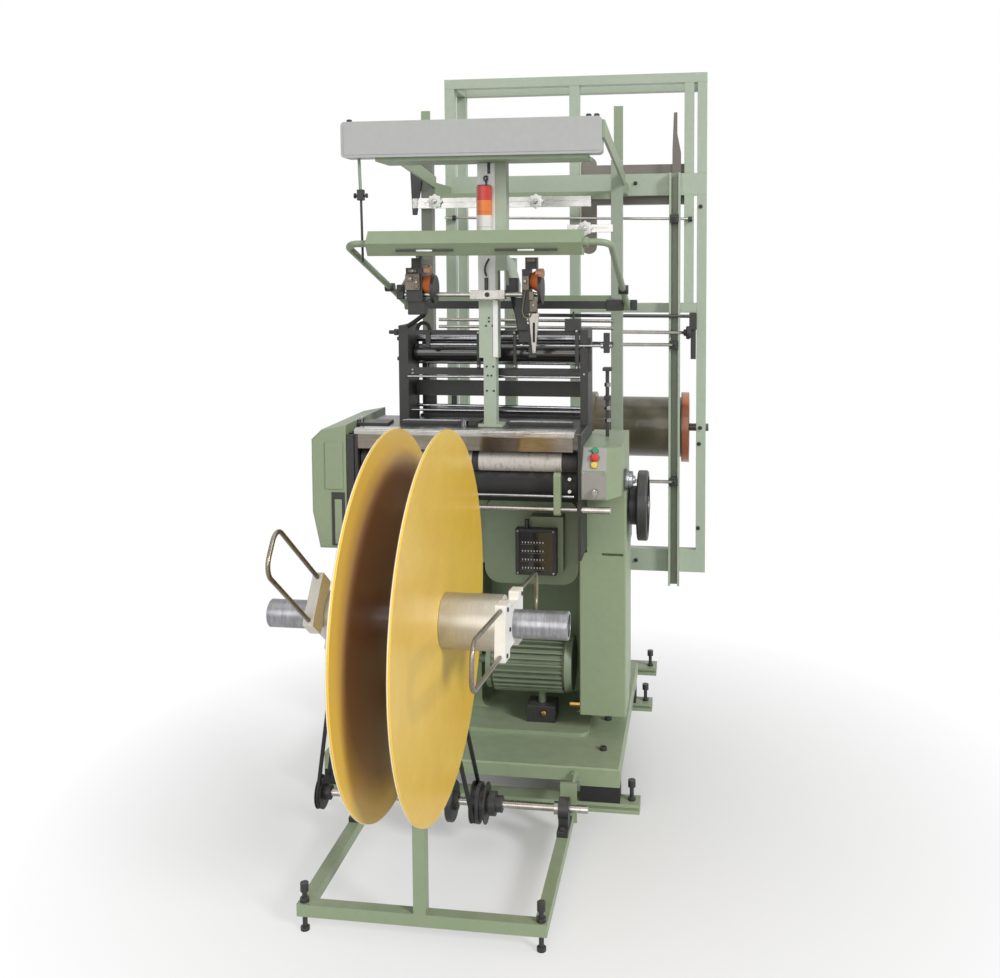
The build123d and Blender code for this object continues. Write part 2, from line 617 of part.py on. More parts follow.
take_up_roller.part.label = "take_up_roller"

with BuildPart() as press_roller:
    with Locations(Plane.YZ.offset(PLATE_L + PLATE_T + 5)):
        with Locations((PRESS_Y, PRESS_Z)):
            Cylinder(press_r, PLATE_R - PLATE_L - 2 * PLATE_T - 10,
                     align=(Align.CENTER, Align.CENTER, Align.MIN))
    with Locations(Plane.YZ.offset(PLATE_L + 2)):
        with Locations((PRESS_Y, PRESS_Z)):
            Cylinder(9, PLATE_R - PLATE_L - 4, align=(Align.CENTER, Align.CENTER, Align.MIN))
press_roller.part.label = "press_roller"

with BuildPart() as lever_shaft:
    with Locations(Plane.YZ.offset(PLATE_L)):
        with Locations((LEVER_Y, LEVER_Z)):
            Cylinder(LEVER_ROD_D / 2, PLATE_R - PLATE_L + 4, align=(Align.CENTER, Align.CENTER, Align.MIN))
    with Locations(Plane.YZ.offset(PLATE_R + 4)):
        with Locations((LEVER_Y, LEVER_Z)):
            Cylinder(10, 84, align=(Align.CENTER, Align.CENTER, Align.MIN))
    chamfer(lever_shaft.edges().filter_by(GeomType.CIRCLE).sort_by(Axis.X)[-1], 3)
lever_shaft.part.label = "lever_shaft"

LEVER_T = 20.0
lever_x = PLATE_R - PLATE_T - 68
with BuildPart() as press_lever:
    with BuildSketch(Plane.YZ.offset(lever_x)):
        with Locations((LEVER_Y, LEVER_Z + 45)):
            SlotOverall(126, 24, rotation=90)
        with Locations((LEVER_Y, LEVER_Z)):
            Circle(LEVER_ROD_D / 2, mode=Mode.SUBTRACT)
    extrude(amount=LEVER_T)
press_lever.part.label = "press_lever"

# covers and control box
SIDE_COVER_FRONT = 690.0
SIDE_COVER_LOW = 735.0
SIDE_COVER_TOP = 1106.0
SIDE_COVER_W = 106.0
with BuildPart() as left_cover:
    with BuildSketch(Plane.XZ.offset(-SIDE_COVER_FRONT)):
        with BuildLine():
            Polyline(
                (BODY_LEFT, SIDE_COVER_LOW),
                (BODY_LEFT, SIDE_COVER_TOP),
                (BODY_LEFT - 74, SIDE_COVER_TOP - 14),
                (BODY_LEFT - SIDE_COVER_W, SIDE_COVER_TOP - 44),
                (BODY_LEFT - SIDE_COVER_W, SIDE_COVER_LOW + 110),
                (BODY_LEFT - SIDE_COVER_W + 22, SIDE_COVER_LOW),
                close=True,
            )
        make_face()
    extrude(amount=SIDE_COVER_FRONT - 1100)
    chamfer(left_cover.faces().sort_by(Axis.Y)[0].edges(), 4)
    # raised hatch on the front
    with Locations((BODY_LEFT - 62, SIDE_COVER_FRONT, SIDE_COVER_LOW + 180)):
        Box(54, 4, 140, align=(Align.MIN, Align.MAX, Align.MIN))
left_cover.part.label = "left_cover"

upper_top = 900.0
upper_front = 850.0
upper_back = 1100.0
LOW_COVER_W = 142.0
LOW_COVER_REAR_W = 124.0
LOW_COVER_GAP = 70.0     # open height under the front of the lower cover
with BuildPart() as lower_cover:
    with Locations((BODY_RIGHT, upper_front, BASE_TOP + LOW_COVER_GAP)):
        Box(LOW_COVER_W, BODY_FRONT - upper_front, COVER_SPLIT - BASE_TOP - LOW_COVER_GAP,
            align=(Align.MIN, Align.MIN, Align.MIN))
    fillet(lower_cover.edges().filter_by(Axis.Z).group_by(Axis.Y)[0], 5)
    with Locations((BODY_RIGHT, BODY_FRONT, BASE_TOP)):
        Box(LOW_COVER_REAR_W, BODY_BACK - BODY_FRONT, COVER_SPLIT - BASE_TOP,
            align=(Align.MIN, Align.MIN, Align.MIN))
    # finger slot at the top of the front
    with Locations((BODY_RIGHT + 70, upper_front, COVER_SPLIT)):
        Box(64, 14, 8, align=(Align.MIN, Align.MIN, Align.MAX), mode=Mode.SUBTRACT)
lower_cover.part.label = "lower_cover"

with BuildPart() as upper_cover:
    with Locations((PLATE_R, upper_front, COVER_SPLIT)):
        Box(120, upper_back - upper_front, upper_top - COVER_SPLIT, align=(Align.MIN, Align.MIN, Align.MIN))
    fillet(upper_cover.edges().filter_by(Axis.Z).group_by(Axis.X)[-1], 8)
    with Locations(Plane.YZ.offset(PLATE_R + 120)):
        with Locations((HAND_Y, HAND_Z)):
            Cylinder(MAIN_D / 2 + RUN_FIT, 95, align=(Align.CENTER, Align.CENTER, Align.MAX),
                     mode=Mode.SUBTRACT)
upper_cover.part.label = "upper_cover"

# control box with a leaning push-button panel
PANEL_FRONT = 700.0      # upright lower part of the panel
PANEL_KINK = 982.0       # height where the panel starts to lean back
PANEL_RUN = 45.0         # how far it leans back
BOX_TOP = 1046.0
BOX_W = 112.0
BOX_BACK = 1080.0
PANEL_W = 73.0           # front width left of the slanted corner
CORNER_RUN = 65.0
BUTTON_R = 10.0
BUTTON_GAP = 0.1
BUTTON_PITCH = 23.0
STROKE_ROOM = 10.0       # depth of the wells behind the buttons
panel_rise = BOX_TOP - PANEL_KINK
panel_l = math.hypot(PANEL_RUN, panel_rise)
panel_plane = Plane(
    origin=(PLATE_R, PANEL_FRONT, PANEL_KINK),
    x_dir=(1, 0, 0),
    z_dir=(0, -panel_rise / panel_l, PANEL_RUN / panel_l),
)
button_x = 37.0
button_y = (19.0 + 2 * BUTTON_PITCH, 19.0 + BUTTON_PITCH, 19.0)
key_x = PLATE_R + 40
key_z = 923.0
KEY_R = 9.0
with BuildPart() as control_box:
    with BuildSketch(Plane.YZ.offset(PLATE_R)):
        with BuildLine():
            Polyline(
                (PANEL_FRONT, upper_top),
                (PANEL_FRONT, PANEL_KINK),
                (PANEL_FRONT + PANEL_RUN, BOX_TOP),
                (BOX_BACK, BOX_TOP),
                (BOX_BACK, upper_top),
                close=True,
            )
        make_face()
    extrude(amount=BOX_W)
    # slanted front corner at the operator's right
    with BuildSketch(Plane.XY.offset(upper_top)):
        with BuildLine():
            Polyline(
                (PLATE_R, PANEL_FRONT),
                (PLATE_R + PANEL_W, PANEL_FRONT),
                (PLATE_R + BOX_W, PANEL_FRONT + CORNER_RUN),
                (PLATE_R + BOX_W, BOX_BACK),
                (PLATE_R, BOX_BACK),
                close=True,
            )
        make_face()
    extrude(amount=BOX_TOP - upper_top, mode=Mode.INTERSECT)
    fillet(control_box.edges().filter_by(Axis.Z).group_by(Axis.Y)[-1], 5)
    with Locations(panel_plane):
        with Locations((button_x, button_y[0]), (button_x, button_y[1]), (button_x, button_y[2])):
            Cylinder(BUTTON_R + BUTTON_GAP, 2 * STROKE_ROOM, align=(Align.CENTER, Align.CENTER, Align.MAX),
                     mode=Mode.SUBTRACT)
    with Locations(Plane.XZ.offset(-PANEL_FRONT)):
        with Locations((key_x, key_z)):
            Cylinder(KEY_R + BUTTON_GAP, 2 * STROKE_ROOM, align=(Align.CENTER, Align.CENTER, Align.MAX),
                     mode=Mode.SUBTRACT)
control_box.part.label = "control_box"

with BuildPart() as green_button:
    with Locations(panel_plane.offset(-STROKE_ROOM)):
        with Locations((button_x, button_y[0])):
            Cylinder(BUTTON_R, STROKE_ROOM + 8, align=(Align.CENTER, Align.CENTER, Align.MIN))
    chamfer(green_button.edges().filter_by(GeomType.CIRCLE).sort_by(Axis.Z)[-1], 1.5)
green_button.part.label = "green_button"

with BuildPart() as red_button:
    with BuildSketch(Plane(origin=panel_plane.from_local_coords((button_x, button_y[1], -STROKE_ROOM)),
                           x_dir=(1, 0, 0), z_dir=(0, -PANEL_RUN / panel_l, -panel_rise / panel_l))):
        with BuildLine():
            Polyline(
                (0, 0),
                (BUTTON_R, 0),
                (BUTTON_R, STROKE_ROOM + 6),
                (BUTTON_R + 2.5, STROKE_ROOM + 7),
                (BUTTON_R + 2.5, STROKE_ROOM + 12),
                (BUTTON_R - 1, STROKE_ROOM + 15),
                (0, STROKE_ROOM + 16),
                close=True,
            )
        make_face()
    revolve(axis=Axis(panel_plane.from_local_coords((button_x, button_y[1], 0)), panel_plane.z_dir))
red_button.part.label = "red_button"

with BuildPart() as yellow_button:
    with Locations(panel_plane.offset(-STROKE_ROOM)):
        with Locations((button_x, button_y[2])):
            Cylinder(BUTTON_R, STROKE_ROOM + 9, align=(Align.CENTER, Align.CENTER, Align.MIN))
    chamfer(yellow_button.edges().filter_by(GeomType.CIRCLE).sort_by(Axis.Z)[-1], 1.5)
yellow_button.part.label = "yellow_button"

with BuildPart() as key_switch:
    with Locations(Plane.XZ.offset(-PANEL_FRONT - 14)):
        with Locations((key_x, key_z)):
            Cylinder(KEY_R, 24, align=(Align.CENTER, Align.CENTER, Align.MIN))
    with Locations((key_x, PANEL_FRONT - 10, key_z)):
        Box(4, 14, 26, align=(Align.CENTER, Align.MAX, Align.CENTER))
    fillet(key_switch.edges().filter_by(Axis.X).group_by(Axis.Y)[0], 5)
key_switch.part.label = "key_switch"

# main shaft and handwheel
with BuildPart() as main_shaft:
    with Locations(Plane.YZ.offset(PLATE_R + 28)):
        with Locations((HAND_Y, HAND_Z)):
            Cylinder(MAIN_D / 2, 158, align=(Align.CENTER, Align.CENTER, Align.MIN))
    with Locations(Plane.YZ.offset(PLATE_R + 124)):
        with Locations((HAND_Y, HAND_Z)):
            Cylinder(58, 22, align=(Align.CENTER, Align.CENTER, Align.MIN))
    chamfer(main_shaft.edges().filter_by(GeomType.CIRCLE).sort_by(Axis.X)[-1], 2)
main_shaft.part.label = "main_shaft"

with BuildPart() as handwheel:
    with Locations(Plane.YZ.offset(PLATE_R + 148)):
        with Locations((HAND_Y, HAND_Z)):
            Cylinder(HAND_D / 2, 32, align=(Align.CENTER, Align.CENTER, Align.MIN))
            Cylinder(MAIN_D / 2, 32, align=(Align.CENTER, Align.CENTER, Align.MIN), mode=Mode.SUBTRACT)
    with BuildSketch(Plane.YZ.offset(PLATE_R + 166)):
        with Locations((HAND_Y, HAND_Z)):
            Circle(HAND_D / 2 - 18)
            Circle(30, mode=Mode.SUBTRACT)
    extrude(amount=14, mode=Mode.SUBTRACT)
    fillet(handwheel.edges().filter_by(GeomType.CIRCLE).group_by(SortBy.RADIUS)[-1], 6)
handwheel.part.label = "handwheel"

# motor
motor_y = 950.0
motor_z = 322.0
motor_l = 232.0
MOTOR_BELL = 22.0
motor_left = BODY_RIGHT - bay_wall - 22 - MOTOR_BELL - motor_l
with BuildPart() as motor:
    with Locations(Plane.YZ.offset(motor_left)):
        with Locations((motor_y, motor_z)):
            Cylinder(78, motor_l, align=(Align.CENTER, Align.CENTER, Align.MIN))
    with Locations(Plane.YZ.offset(motor_left + 8)):
        with Locations((motor_y, motor_z)):
            with PolarLocations(84, 30):
                Box(18, 5, motor_l - 16, align=(Align.CENTER, Align.CENTER, Align.MIN))
    with Locations(Plane.YZ.offset(motor_left)):
        with Locations((motor_y, motor_z)):
            Cylinder(86, 16, align=(Align.CENTER, Align.CENTER, Align.MAX))
            Cylinder(12, 56, align=(Align.CENTER, Align.CENTER, Align.MAX))
    with Locations(Plane.YZ.offset(motor_left + motor_l)):
        with Locations((motor_y, motor_z)):
            Cone(92, 84, MOTOR_BELL, align=(Align.CENTER, Align.CENTER, Align.MIN))
    # tensioning foot under the motor
    with Locations((145, motor_y, bed_top)):
        Box(84, 76, 50, align=(Align.CENTER, Align.CENTER, Align.MIN))
        Cylinder(12, motor_z - bed_top - 40, align=(Align.CENTER, Align.CENTER, Align.MIN))
motor.part.label = "motor"

counter_front = 905.0
COUNTER_D = 30.0
with BuildPart() as counter_box:
    with Locations((70, counter_front, 613)):
        Box(128, COUNTER_D, 144, align=(Align.MIN, Align.MIN, Align.MIN))
    fillet(counter_box.edges().filter_by(Axis.Y), 4)
    # terminal box behind it
    with Locations((111, counter_front + COUNTER_D, 617)):
        Box(105, guard_front - counter_front - COUNTER_D, 173, align=(Align.MIN, Align.MIN, Align.MIN))
counter_box.part.label = "counter_box"

# centre column, lamps and header
header_low = 1890.0
header_top = 1994.0
LIP_T = 11.0
COL_W = 58.0
COL_D = 44.0
COL_HEAD_W = 86.0
with BuildPart() as centre_column:
    with Locations((COL_X + 3, COL_Y, BREAST_TOP)):
        Box(38, 40, 1300 - BREAST_TOP, align=(Align.CENTER, Align.MIN, Align.MIN))
    with Locations((COL_X, COL_Y, 1300)):
        Box(COL_W, COL_D, header_low - LIP_T - 1300, align=(Align.CENTER, Align.MIN, Align.MIN))
    # wider head of the column and the gusset that stays it from behind
    with Locations((COL_X - COL_W / 2, COL_Y, 1560)):
        Box(COL_HEAD_W, COL_D, header_low - LIP_T - 1560, align=(Align.MIN, Align.MIN, Align.MIN))
    with BuildSketch(Plane.YZ.offset(COL_X - COL_W / 2 + COL_HEAD_W - 8)):
        with BuildLine():
            Polyline(
                (COL_Y + COL_D / 2, 1640),
                (COL_Y + COL_D, 1602),
                (COL_Y + 135, 1588),
                (COL_Y + 249, 1513),
                (COL_Y + 230, 1465),
                (COL_Y + COL_D, 1500),
                (COL_Y + COL_D / 2, 1560),
                close=True,
            )
        make_face()
    extrude(amount=8)
    with Locations((COL_X + 3, COL_Y, BREAST_TOP)):
        Box(74, 52, 8, align=(Align.CENTER, Align.MIN, Align.MIN))
centre_column.part.label = "centre_column"

with BuildPart() as header_box:
    with BuildSketch(Plane.XZ.offset(-690)):
        with Locations((-19, (header_low + header_top) / 2)):
            RectangleRounded(762, header_top - header_low, 12)
    extrude(amount=-60)
    with Locations((10, 700, header_low)):
        Box(620, COL_Y + COL_D - 700, LIP_T, align=(Align.CENTER, Align.MIN, Align.MAX))
header_box.part.label = "header_box"

upright_in = UPRIGHT_X - UPRIGHT / 2
upright_out = UPRIGHT_X + UPRIGHT / 2
with BuildPart() as header_arms:
    with BuildSketch(Plane.YZ.offset(upright_out)):
        with BuildLine():
            Polyline((696, 1984), (696, 1934), (1480, 1852), (1480, 1894), close=True)
        make_face()
    extrude(amount=8)
    with BuildSketch(Plane.YZ.offset(-upright_in)):
        with BuildLine():
            Polyline((750, 1978), (750, 1928), (1480, 1852), (1480, 1894), close=True)
        make_face()
    extrude(amount=8)
header_arms.part.label = "header_arms"

pivot_y = 1200.0
pivot_z = 1443.0
lamp_y = 690.0
lamp_z = 1641.0
with BuildPart() as lamp_bar:
    with BuildSketch(Plane.YZ.offset(-318)):
        with BuildLine():
            Polyline(
                (lamp_y - 44, lamp_z - 1),
                (lamp_y - 14, lamp_z + 36),
                (lamp_y + 26, lamp_z + 36),
                (lamp_y + 48, lamp_z - 1),
                (lamp_y + 26, lamp_z - 36),
                (lamp_y - 22, lamp_z - 36),
                close=True,
            )
        make_face()
    extrude(amount=626)
    with BuildLine():
        FilletPolyline((300, lamp_y, lamp_z), (386, lamp_y, lamp_z), (396, pivot_y, pivot_z), radius=36)
    with BuildSketch(Plane.YZ.offset(300)):
        with Locations((lamp_y, lamp_z)):
            Circle(10)
    sweep()
    with BuildLine():
        FilletPolyline((-310, lamp_y, lamp_z), (-392, lamp_y, lamp_z), (-346, pivot_y, pivot_z), radius=36)
    with BuildSketch(Plane.YZ.offset(-310)):
        with Locations((lamp_y, lamp_z)):
            Circle(10)
    sweep()
    with Locations(Plane.YZ.offset(386), Plane.YZ.offset(-356)):
        with Locations((pivot_y, pivot_z)):
            Cylinder(17, 20, align=(Align.CENTER, Align.CENTER, Align.MIN))
    with Locations(Plane.YZ.offset(396), Plane.YZ.offset(-346)):
        with Locations((pivot_y, pivot_z)):
            Cylinder(8 + RUN_FIT, 32, mode=Mode.SUBTRACT)
lamp_bar.part.label = "lamp_bar"

with BuildPart() as lamp_support:
    with Locations((-upright_in - 8, pivot_y, pivot_z)):
        Box(upright_in + 8 + 385, 26, 26, align=(Align.MIN, Align.CENTER, Align.CENTER))
    with Locations((-upright_in - 5, pivot_y - 13, pivot_z), (upright_in + 5, pivot_y - 13, pivot_z)):
        Box(10, UPRIGHT_Y - pivot_y + 13, 26, align=(Align.CENTER, Align.MIN, Align.CENTER))
    with Locations(Plane.YZ.offset(-357)):
        with Locations((pivot_y, pivot_z)):
            Cylinder(8, 764, align=(Align.CENTER, Align.CENTER, Align.MIN))
lamp_support.part.label = "lamp_support"

with BuildPart() as signal_lamp:
    with Locations((6, COL_Y - 23, 1672)):
        Cylinder(23, 140, align=(Align.CENTER, Align.CENTER, Align.MIN))
        Box(24, 23, 12, align=(Align.CENTER, Align.MIN, Align.MIN))
    chamfer(signal_lamp.edges().filter_by(GeomType.CIRCLE).sort_by(Axis.Z)[-1], 3)
signal_lamp.part.label = "signal_lamp"

# weft heads on their rod
rod_y = 784.0
rod_z = 1490.0
with BuildPart() as head_rod:
    with Locations(Plane.YZ.offset(-256)):
        with Locations((rod_y, rod_z)):
            Cylinder(7, 430, align=(Align.CENTER, Align.CENTER, Align.MIN))
    with Locations((14, COL_Y, rod_z)):
        Box(104, 30, 26, align=(Align.CENTER, Align.MAX, Align.CENTER))
head_rod.part.label = "head_rod"

with BuildPart() as left_head:
    with Locations((-205, rod_y, 1520)):
        Box(50, 46, 100)
    with Locations((-200, rod_y, 1584)):
        Box(30, 30, 30)
    with Locations(Plane.YZ.offset(-180)):
        with Locations((rod_y, 1520)):
            Cone(22, 34, 26, align=(Align.CENTER, Align.CENTER, Align.MIN))
    with Locations(Plane.YZ.offset(-154)):
        with Locations((rod_y, 1506)):
            Cylinder(42, 10, align=(Align.CENTER, Align.CENTER, Align.MIN))
    with Locations(Plane.YZ.offset(-300)):
        with Locations((rod_y, rod_z)):
            Cylinder(7, 300, align=(Align.CENTER, Align.CENTER, Align.MIN), mode=Mode.SUBTRACT)
left_head.part.label = "left_head"

with BuildPart() as right_head:
    with Locations((132, rod_y, 1500)):
        Box(24, 46, 130)
    with Locations((146, rod_y, 1582)):
        Box(34, 34, 34)
    with Locations(Plane.YZ.offset(144)):
        with Locations((rod_y, 1530)):
            Cone(22, 36, 24, align=(Align.CENTER, Align.CENTER, Align.MIN))
    with Locations(Plane.YZ.offset(168)):
        with Locations((rod_y, 1506)):
            Cylinder(44, 10, align=(Align.CENTER, Align.CENTER, Align.MIN))
    # hanging guide strap
    with Locations((148, rod_y - 12, 1435)):
        Box(22, 5, 130, align=(Align.CENTER, Align.CENTER, Align.MAX))
        Box(30, 24, 20, align=(Align.CENTER, Align.CENTER, Align.MIN))
    with Locations(Plane.YZ.offset(100)):
        with Locations((rod_y, rod_z)):
            Cylinder(7, 74, align=(Align.CENTER, Align.CENTER, Align.MIN), mode=Mode.SUBTRACT)
right_head.part.label = "right_head"

# harness frame, roller and heald frames
harness_y = 870.0
harness_d = 130.0
harness_l = -287.0
harness_r = 302.0
roller_y = 950.0
roller_z = 1302.0
with BuildPart() as harness_frame:
    with Locations((harness_l, harness_y, BREAST_TOP)):
        Box(30, harness_d, 300, align=(Align.MIN, Align.MIN, Align.MIN))
    with Locations((harness_r, harness_y, BREAST_TOP)):
        Box(24, harness_d, 288, align=(Align.MAX, Align.MIN, Align.MIN))
    with Locations((harness_l, harness_y, 1364)):
        Box(harness_r - harness_l, 14, 14, align=(Align.MIN, Align.MIN, Align.MIN))
    with Locations((harness_l, harness_y, 1240)):
        Box(harness_r - harness_l, 14, 22, align=(Align.MIN, Align.MIN, Align.MIN))
    with Locations((harness_l, harness_y + 100, 1164)):
        Box(harness_r - harness_l, 16, 48, align=(Align.MIN, Align.MIN, Align.MIN))
    with Locations(Plane.YZ.offset(harness_l)):
        with Locations((roller_y, roller_z)):
            Cylinder(8 + RUN_FIT, 600, align=(Align.CENTER, Align.CENTER, Align.MIN), mode=Mode.SUBTRACT)
harness_frame.part.label = "harness_frame"

with BuildPart() as upper_roller:
    with Locations(Plane.YZ.offset(harness_l + 34)):
        with Locations((roller_y, roller_z)):
            Cylinder(28, harness_r - harness_l - 62, align=(Align.CENTER, Align.CENTER, Align.MIN))
    with Locations(Plane.YZ.offset(harness_l)):
        with Locations((roller_y, roller_z)):
            Cylinder(8, harness_r - harness_l, align=(Align.CENTER, Align.CENTER, Align.MIN))
upper_roller.part.label = "upper_roller"

with BuildPart() as front_heald_frame:
    with BuildSketch(Plane.XZ.offset(-heald_y[0] + 6)):
        with Locations((14, 1215)):
            Rectangle(540, 250)
            Rectangle(508, 206, mode=Mode.SUBTRACT)
    extrude(amount=-12)
    with Locations((-lift_x, heald_y[0], 1092), (lift_x, heald_y[0], 1092)):
        Cylinder(lift_r, 150, align=(Align.CENTER, Align.CENTER, Align.MAX))
front_heald_frame.part.label = "front_heald_frame"

with BuildPart() as back_heald_frame:
    with BuildSketch(Plane.XZ.offset(-heald_y[1] + 6)):
        with Locations((14, 1215)):
            Rectangle(540, 250)
            Rectangle(508, 206, mode=Mode.SUBTRACT)
    extrude(amount=-12)
    with Locations((-lift_x, heald_y[1], 1092), (lift_x, heald_y[1], 1092)):
        Cylinder(lift_r, 150, align=(Align.CENTER, Align.CENTER, Align.MAX))
back_heald_frame.part.label = "back_heald_frame"

# rear frame behind the loom
rear_back = UPRIGHT_Y + UPRIGHT
UPRIGHT_TOP = 1940.0
REAR_POST_TOP = 1600.0
with BuildPart() as rear_frame:
    for side in (-1, 1):
        with Locations((side * UPRIGHT_X, UPRIGHT_Y, BASE_TOP)):
            Box(UPRIGHT, UPRIGHT, UPRIGHT_TOP - BASE_TOP, align=(Align.CENTER, Align.MIN, Align.MIN))
        with Locations((side * (UPRIGHT_X + 5), UPRIGHT_Y + 16, UPRIGHT_TOP)):
            Box(32, 8, 188, align=(Align.CENTER, Align.MIN, Align.MIN))
        with Locations((side * UPRIGHT_X, rear_back, 1836)):
            Box(UPRIGHT, CREEL_Y - rear_back, 40, align=(Align.CENTER, Align.MIN, Align.MIN))
    with Locations((0, UPRIGHT_Y + 4, 1440)):
        Box(2 * upright_in, 26, 26, align=(Align.CENTER, Align.MIN, Align.MIN))
    with Locations((0, UPRIGHT_Y + 4, 1806)):
        Box(2 * upright_in, 26, 26, align=(Align.CENTER, Align.MIN, Align.MIN))
    # centre post between the cross tubes, down to the base
    with Locations((REAR_POST_X, UPRIGHT_Y, BASE_TOP)):
        Box(UPRIGHT, UPRIGHT, REAR_POST_TOP - BASE_TOP, align=(Align.CENTER, Align.MIN, Align.MIN))
rear_frame.part.label = "rear_frame"

# creel frame
creel_l = -344.0
creel_r = 655.0
creel_top = 2284.0
creel_low = 398.0
far_y = 1950.0
creel_back = CREEL_Y + 40
ARM_X = 208.0            # hanging arm behind the creel's cross tube
ARM_BEAM_Z = 1802.0
with BuildPart() as creel_frame:
    # near face of the frame
    with Locations((creel_l, CREEL_Y, creel_top)):
        Box(creel_r - creel_l, 40, 36, align=(Align.MIN, Align.MIN, Align.MAX))
    with Locations((creel_l, CREEL_Y, creel_low)):
        Box(38, 40, creel_top - creel_low, align=(Align.MIN, Align.MIN, Align.MIN))
    with Locations((creel_r - 36, CREEL_Y, creel_low), (creel_r - 84, CREEL_Y, creel_low)):
        Box(36, 40, creel_top - creel_low, align=(Align.MIN, Align.MIN, Align.MIN))
    with Locations((139, CREEL_Y, creel_low)):
        Box(38, 40, creel_top - creel_low, align=(Align.MIN, Align.MIN, Align.MIN))
    with Locations((creel_l, CREEL_Y, creel_low)):
        Box(creel_r - creel_l, 40, 86, align=(Align.MIN, Align.MIN, Align.MIN))
    with Locations((creel_l, CREEL_Y, 1832)):
        Box(creel_r - creel_l, 40, 82, align=(Align.MIN, Align.MIN, Align.MIN))
    with Locations((139, CREEL_Y, 1392)):
        Box(creel_r - 139, 40, 36, align=(Align.MIN, Align.MIN, Align.MIN))
    # legs down to the rear rail
    with Locations((-UPRIGHT_X + 2, CREEL_Y, RAIL_H), (UPRIGHT_X - 22, CREEL_Y, RAIL_H)):
        Box(40, 40, creel_low - RAIL_H, align=(Align.CENTER, Align.MIN, Align.MIN))
    # far face, joined by side links
    with Locations((creel_l, far_y, creel_top)):
        Box(creel_r - creel_l, 36, 36, align=(Align.MIN, Align.MIN, Align.MAX))
    with Locations((creel_l, far_y, creel_low), (creel_r - 36, far_y, creel_low)):
        Box(36, 36, creel_top - creel_low, align=(Align.MIN, Align.MIN, Align.MIN))
    with Locations((creel_l, CREEL_Y, creel_top), (creel_r - 36, CREEL_Y, creel_top)):
        Box(36, far_y - CREEL_Y, 36, align=(Align.MIN, Align.MIN, Align.MAX))
    with Locations((creel_l, CREEL_Y, creel_low), (creel_r - 36, CREEL_Y, creel_low)):
        Box(36, far_y - CREEL_Y, 36, align=(Align.MIN, Align.MIN, Align.MIN))
    # heavy cross beam and hanging arm behind the near face
    with Locations((ARM_X, creel_back, ARM_BEAM_Z)):
        Box(creel_r - 55 - ARM_X, 60, 150, align=(Align.MIN, Align.MIN, Align.MIN))
    with BuildSketch(Plane.XZ.offset(-creel_back)):
        with Locations((ARM_X, 1800)):
            SlotOverall(370, 60, rotation=90)
    extrude(amount=-20)
    # bearing plates of the warp beam
    with Locations((creel_r - 34, CREEL_Y + 40, BEAM_Z - 40), (150, CREEL_Y + 40, BEAM_Z - 40)):
        Box(16, BEAM_Y - CREEL_Y, 80, align=(Align.MIN, Align.MIN, Align.MIN))
    with Locations(Plane.YZ.offset(120)):
        with Locations((BEAM_Y, BEAM_Z)):
            Cylinder(15 + RUN_FIT, creel_r - 95, align=(Align.CENTER, Align.CENTER, Align.MIN),
                     mode=Mode.SUBTRACT)
creel_frame.part.label = "creel_frame"

channel_x = creel_r - 118
with BuildPart() as creel_channel:
    with BuildSketch(Plane.XY.offset(352)):
        with Locations((channel_x, CREEL_Y)):
            Rectangle(42, 36, align=(Align.CENTER, Align.MAX))
        with Locations((channel_x, CREEL_Y - 8)):
            Rectangle(26, 28, align=(Align.CENTER, Align.MAX), mode=Mode.SUBTRACT)
    extrude(amount=1914 - 352)
    with BuildSketch(Plane.XZ.offset(-CREEL_Y + 8)):
        with BuildLine():
            Polyline(
                (channel_x - 10, 1880),
                (channel_x + 22, 1880),
                (channel_x + 22, 1990),
                (channel_x + 8, 2060),
                (channel_x + 8, 2138),
                (channel_x - 5, 2138),
                (channel_x - 10, 2000),
                close=True,
            )
        make_face()
    extrude(amount=-6)
creel_channel.part.label = "creel_channel"

DRUM_X = 200.0           # left end of the warp beam's drum
drum_right = creel_r - 83
with BuildPart() as warp_beam:
    with Locations(Plane.YZ.offset(DRUM_X)):
        with Locations((BEAM_Y, BEAM_Z)):
            Cylinder(118, drum_right - DRUM_X, align=(Align.CENTER, Align.CENTER, Align.MIN))
            Cylinder(136, 24, align=(Align.CENTER, Align.CENTER, Align.MIN))
    with Locations(Plane.YZ.offset(drum_right - 12)):
        with Locations((BEAM_Y, BEAM_Z)):
            Cylinder(138, 30, align=(Align.CENTER, Align.CENTER, Align.MIN))
    with Locations(Plane.YZ.offset(drum_right + 6)):
        with Locations((BEAM_Y, BEAM_Z)):
            Cone(104, 120, 12, align=(Align.CENTER, Align.CENTER, Align.MIN), mode=Mode.SUBTRACT)
            Cylinder(46, 12, align=(Align.CENTER, Align.CENTER, Align.MIN))
    with Locations(Plane.YZ.offset(146)):
        with Locations((BEAM_Y, BEAM_Z)):
            Cylinder(15, creel_r + 11 - 146, align=(Align.CENTER, Align.CENTER, Align.MIN))
warp_beam.part.label = "warp_beam"

# write every piece
PIECES = (
    take_up_stand, levelling_bolts, pillow_blocks, transmission_shaft, plain_wheel,
    double_pulley, side_pulley, reel_belt, side_belt, mandrel, mandrel_bearing,
    mandrel_pulley, left_disc, right_disc, left_core, right_core, left_block,
    right_block, left_arms, right_arms, floor_rails, rubber_pads, base_casting,
    loom_body, left_side_plate, right_side_plate, breast_plate, take_up_roller,
    press_roller, lever_shaft, press_lever, left_cover, lower_cover, upper_cover,
    control_box, green_button, red_button, yellow_button, key_switch, main_shaft,
    handwheel, motor, counter_box, centre_column, header_box, header_arms, lamp_bar,
    lamp_support, signal_lamp, head_rod, left_head, right_head, harness_frame,
    upper_roller, front_heald_frame, back_heald_frame, rear_frame, creel_frame,
    creel_channel, warp_beam,
)
os.makedirs("parts", exist_ok=True)
origin_y = RAIL_FRONT + RAIL_D / 2
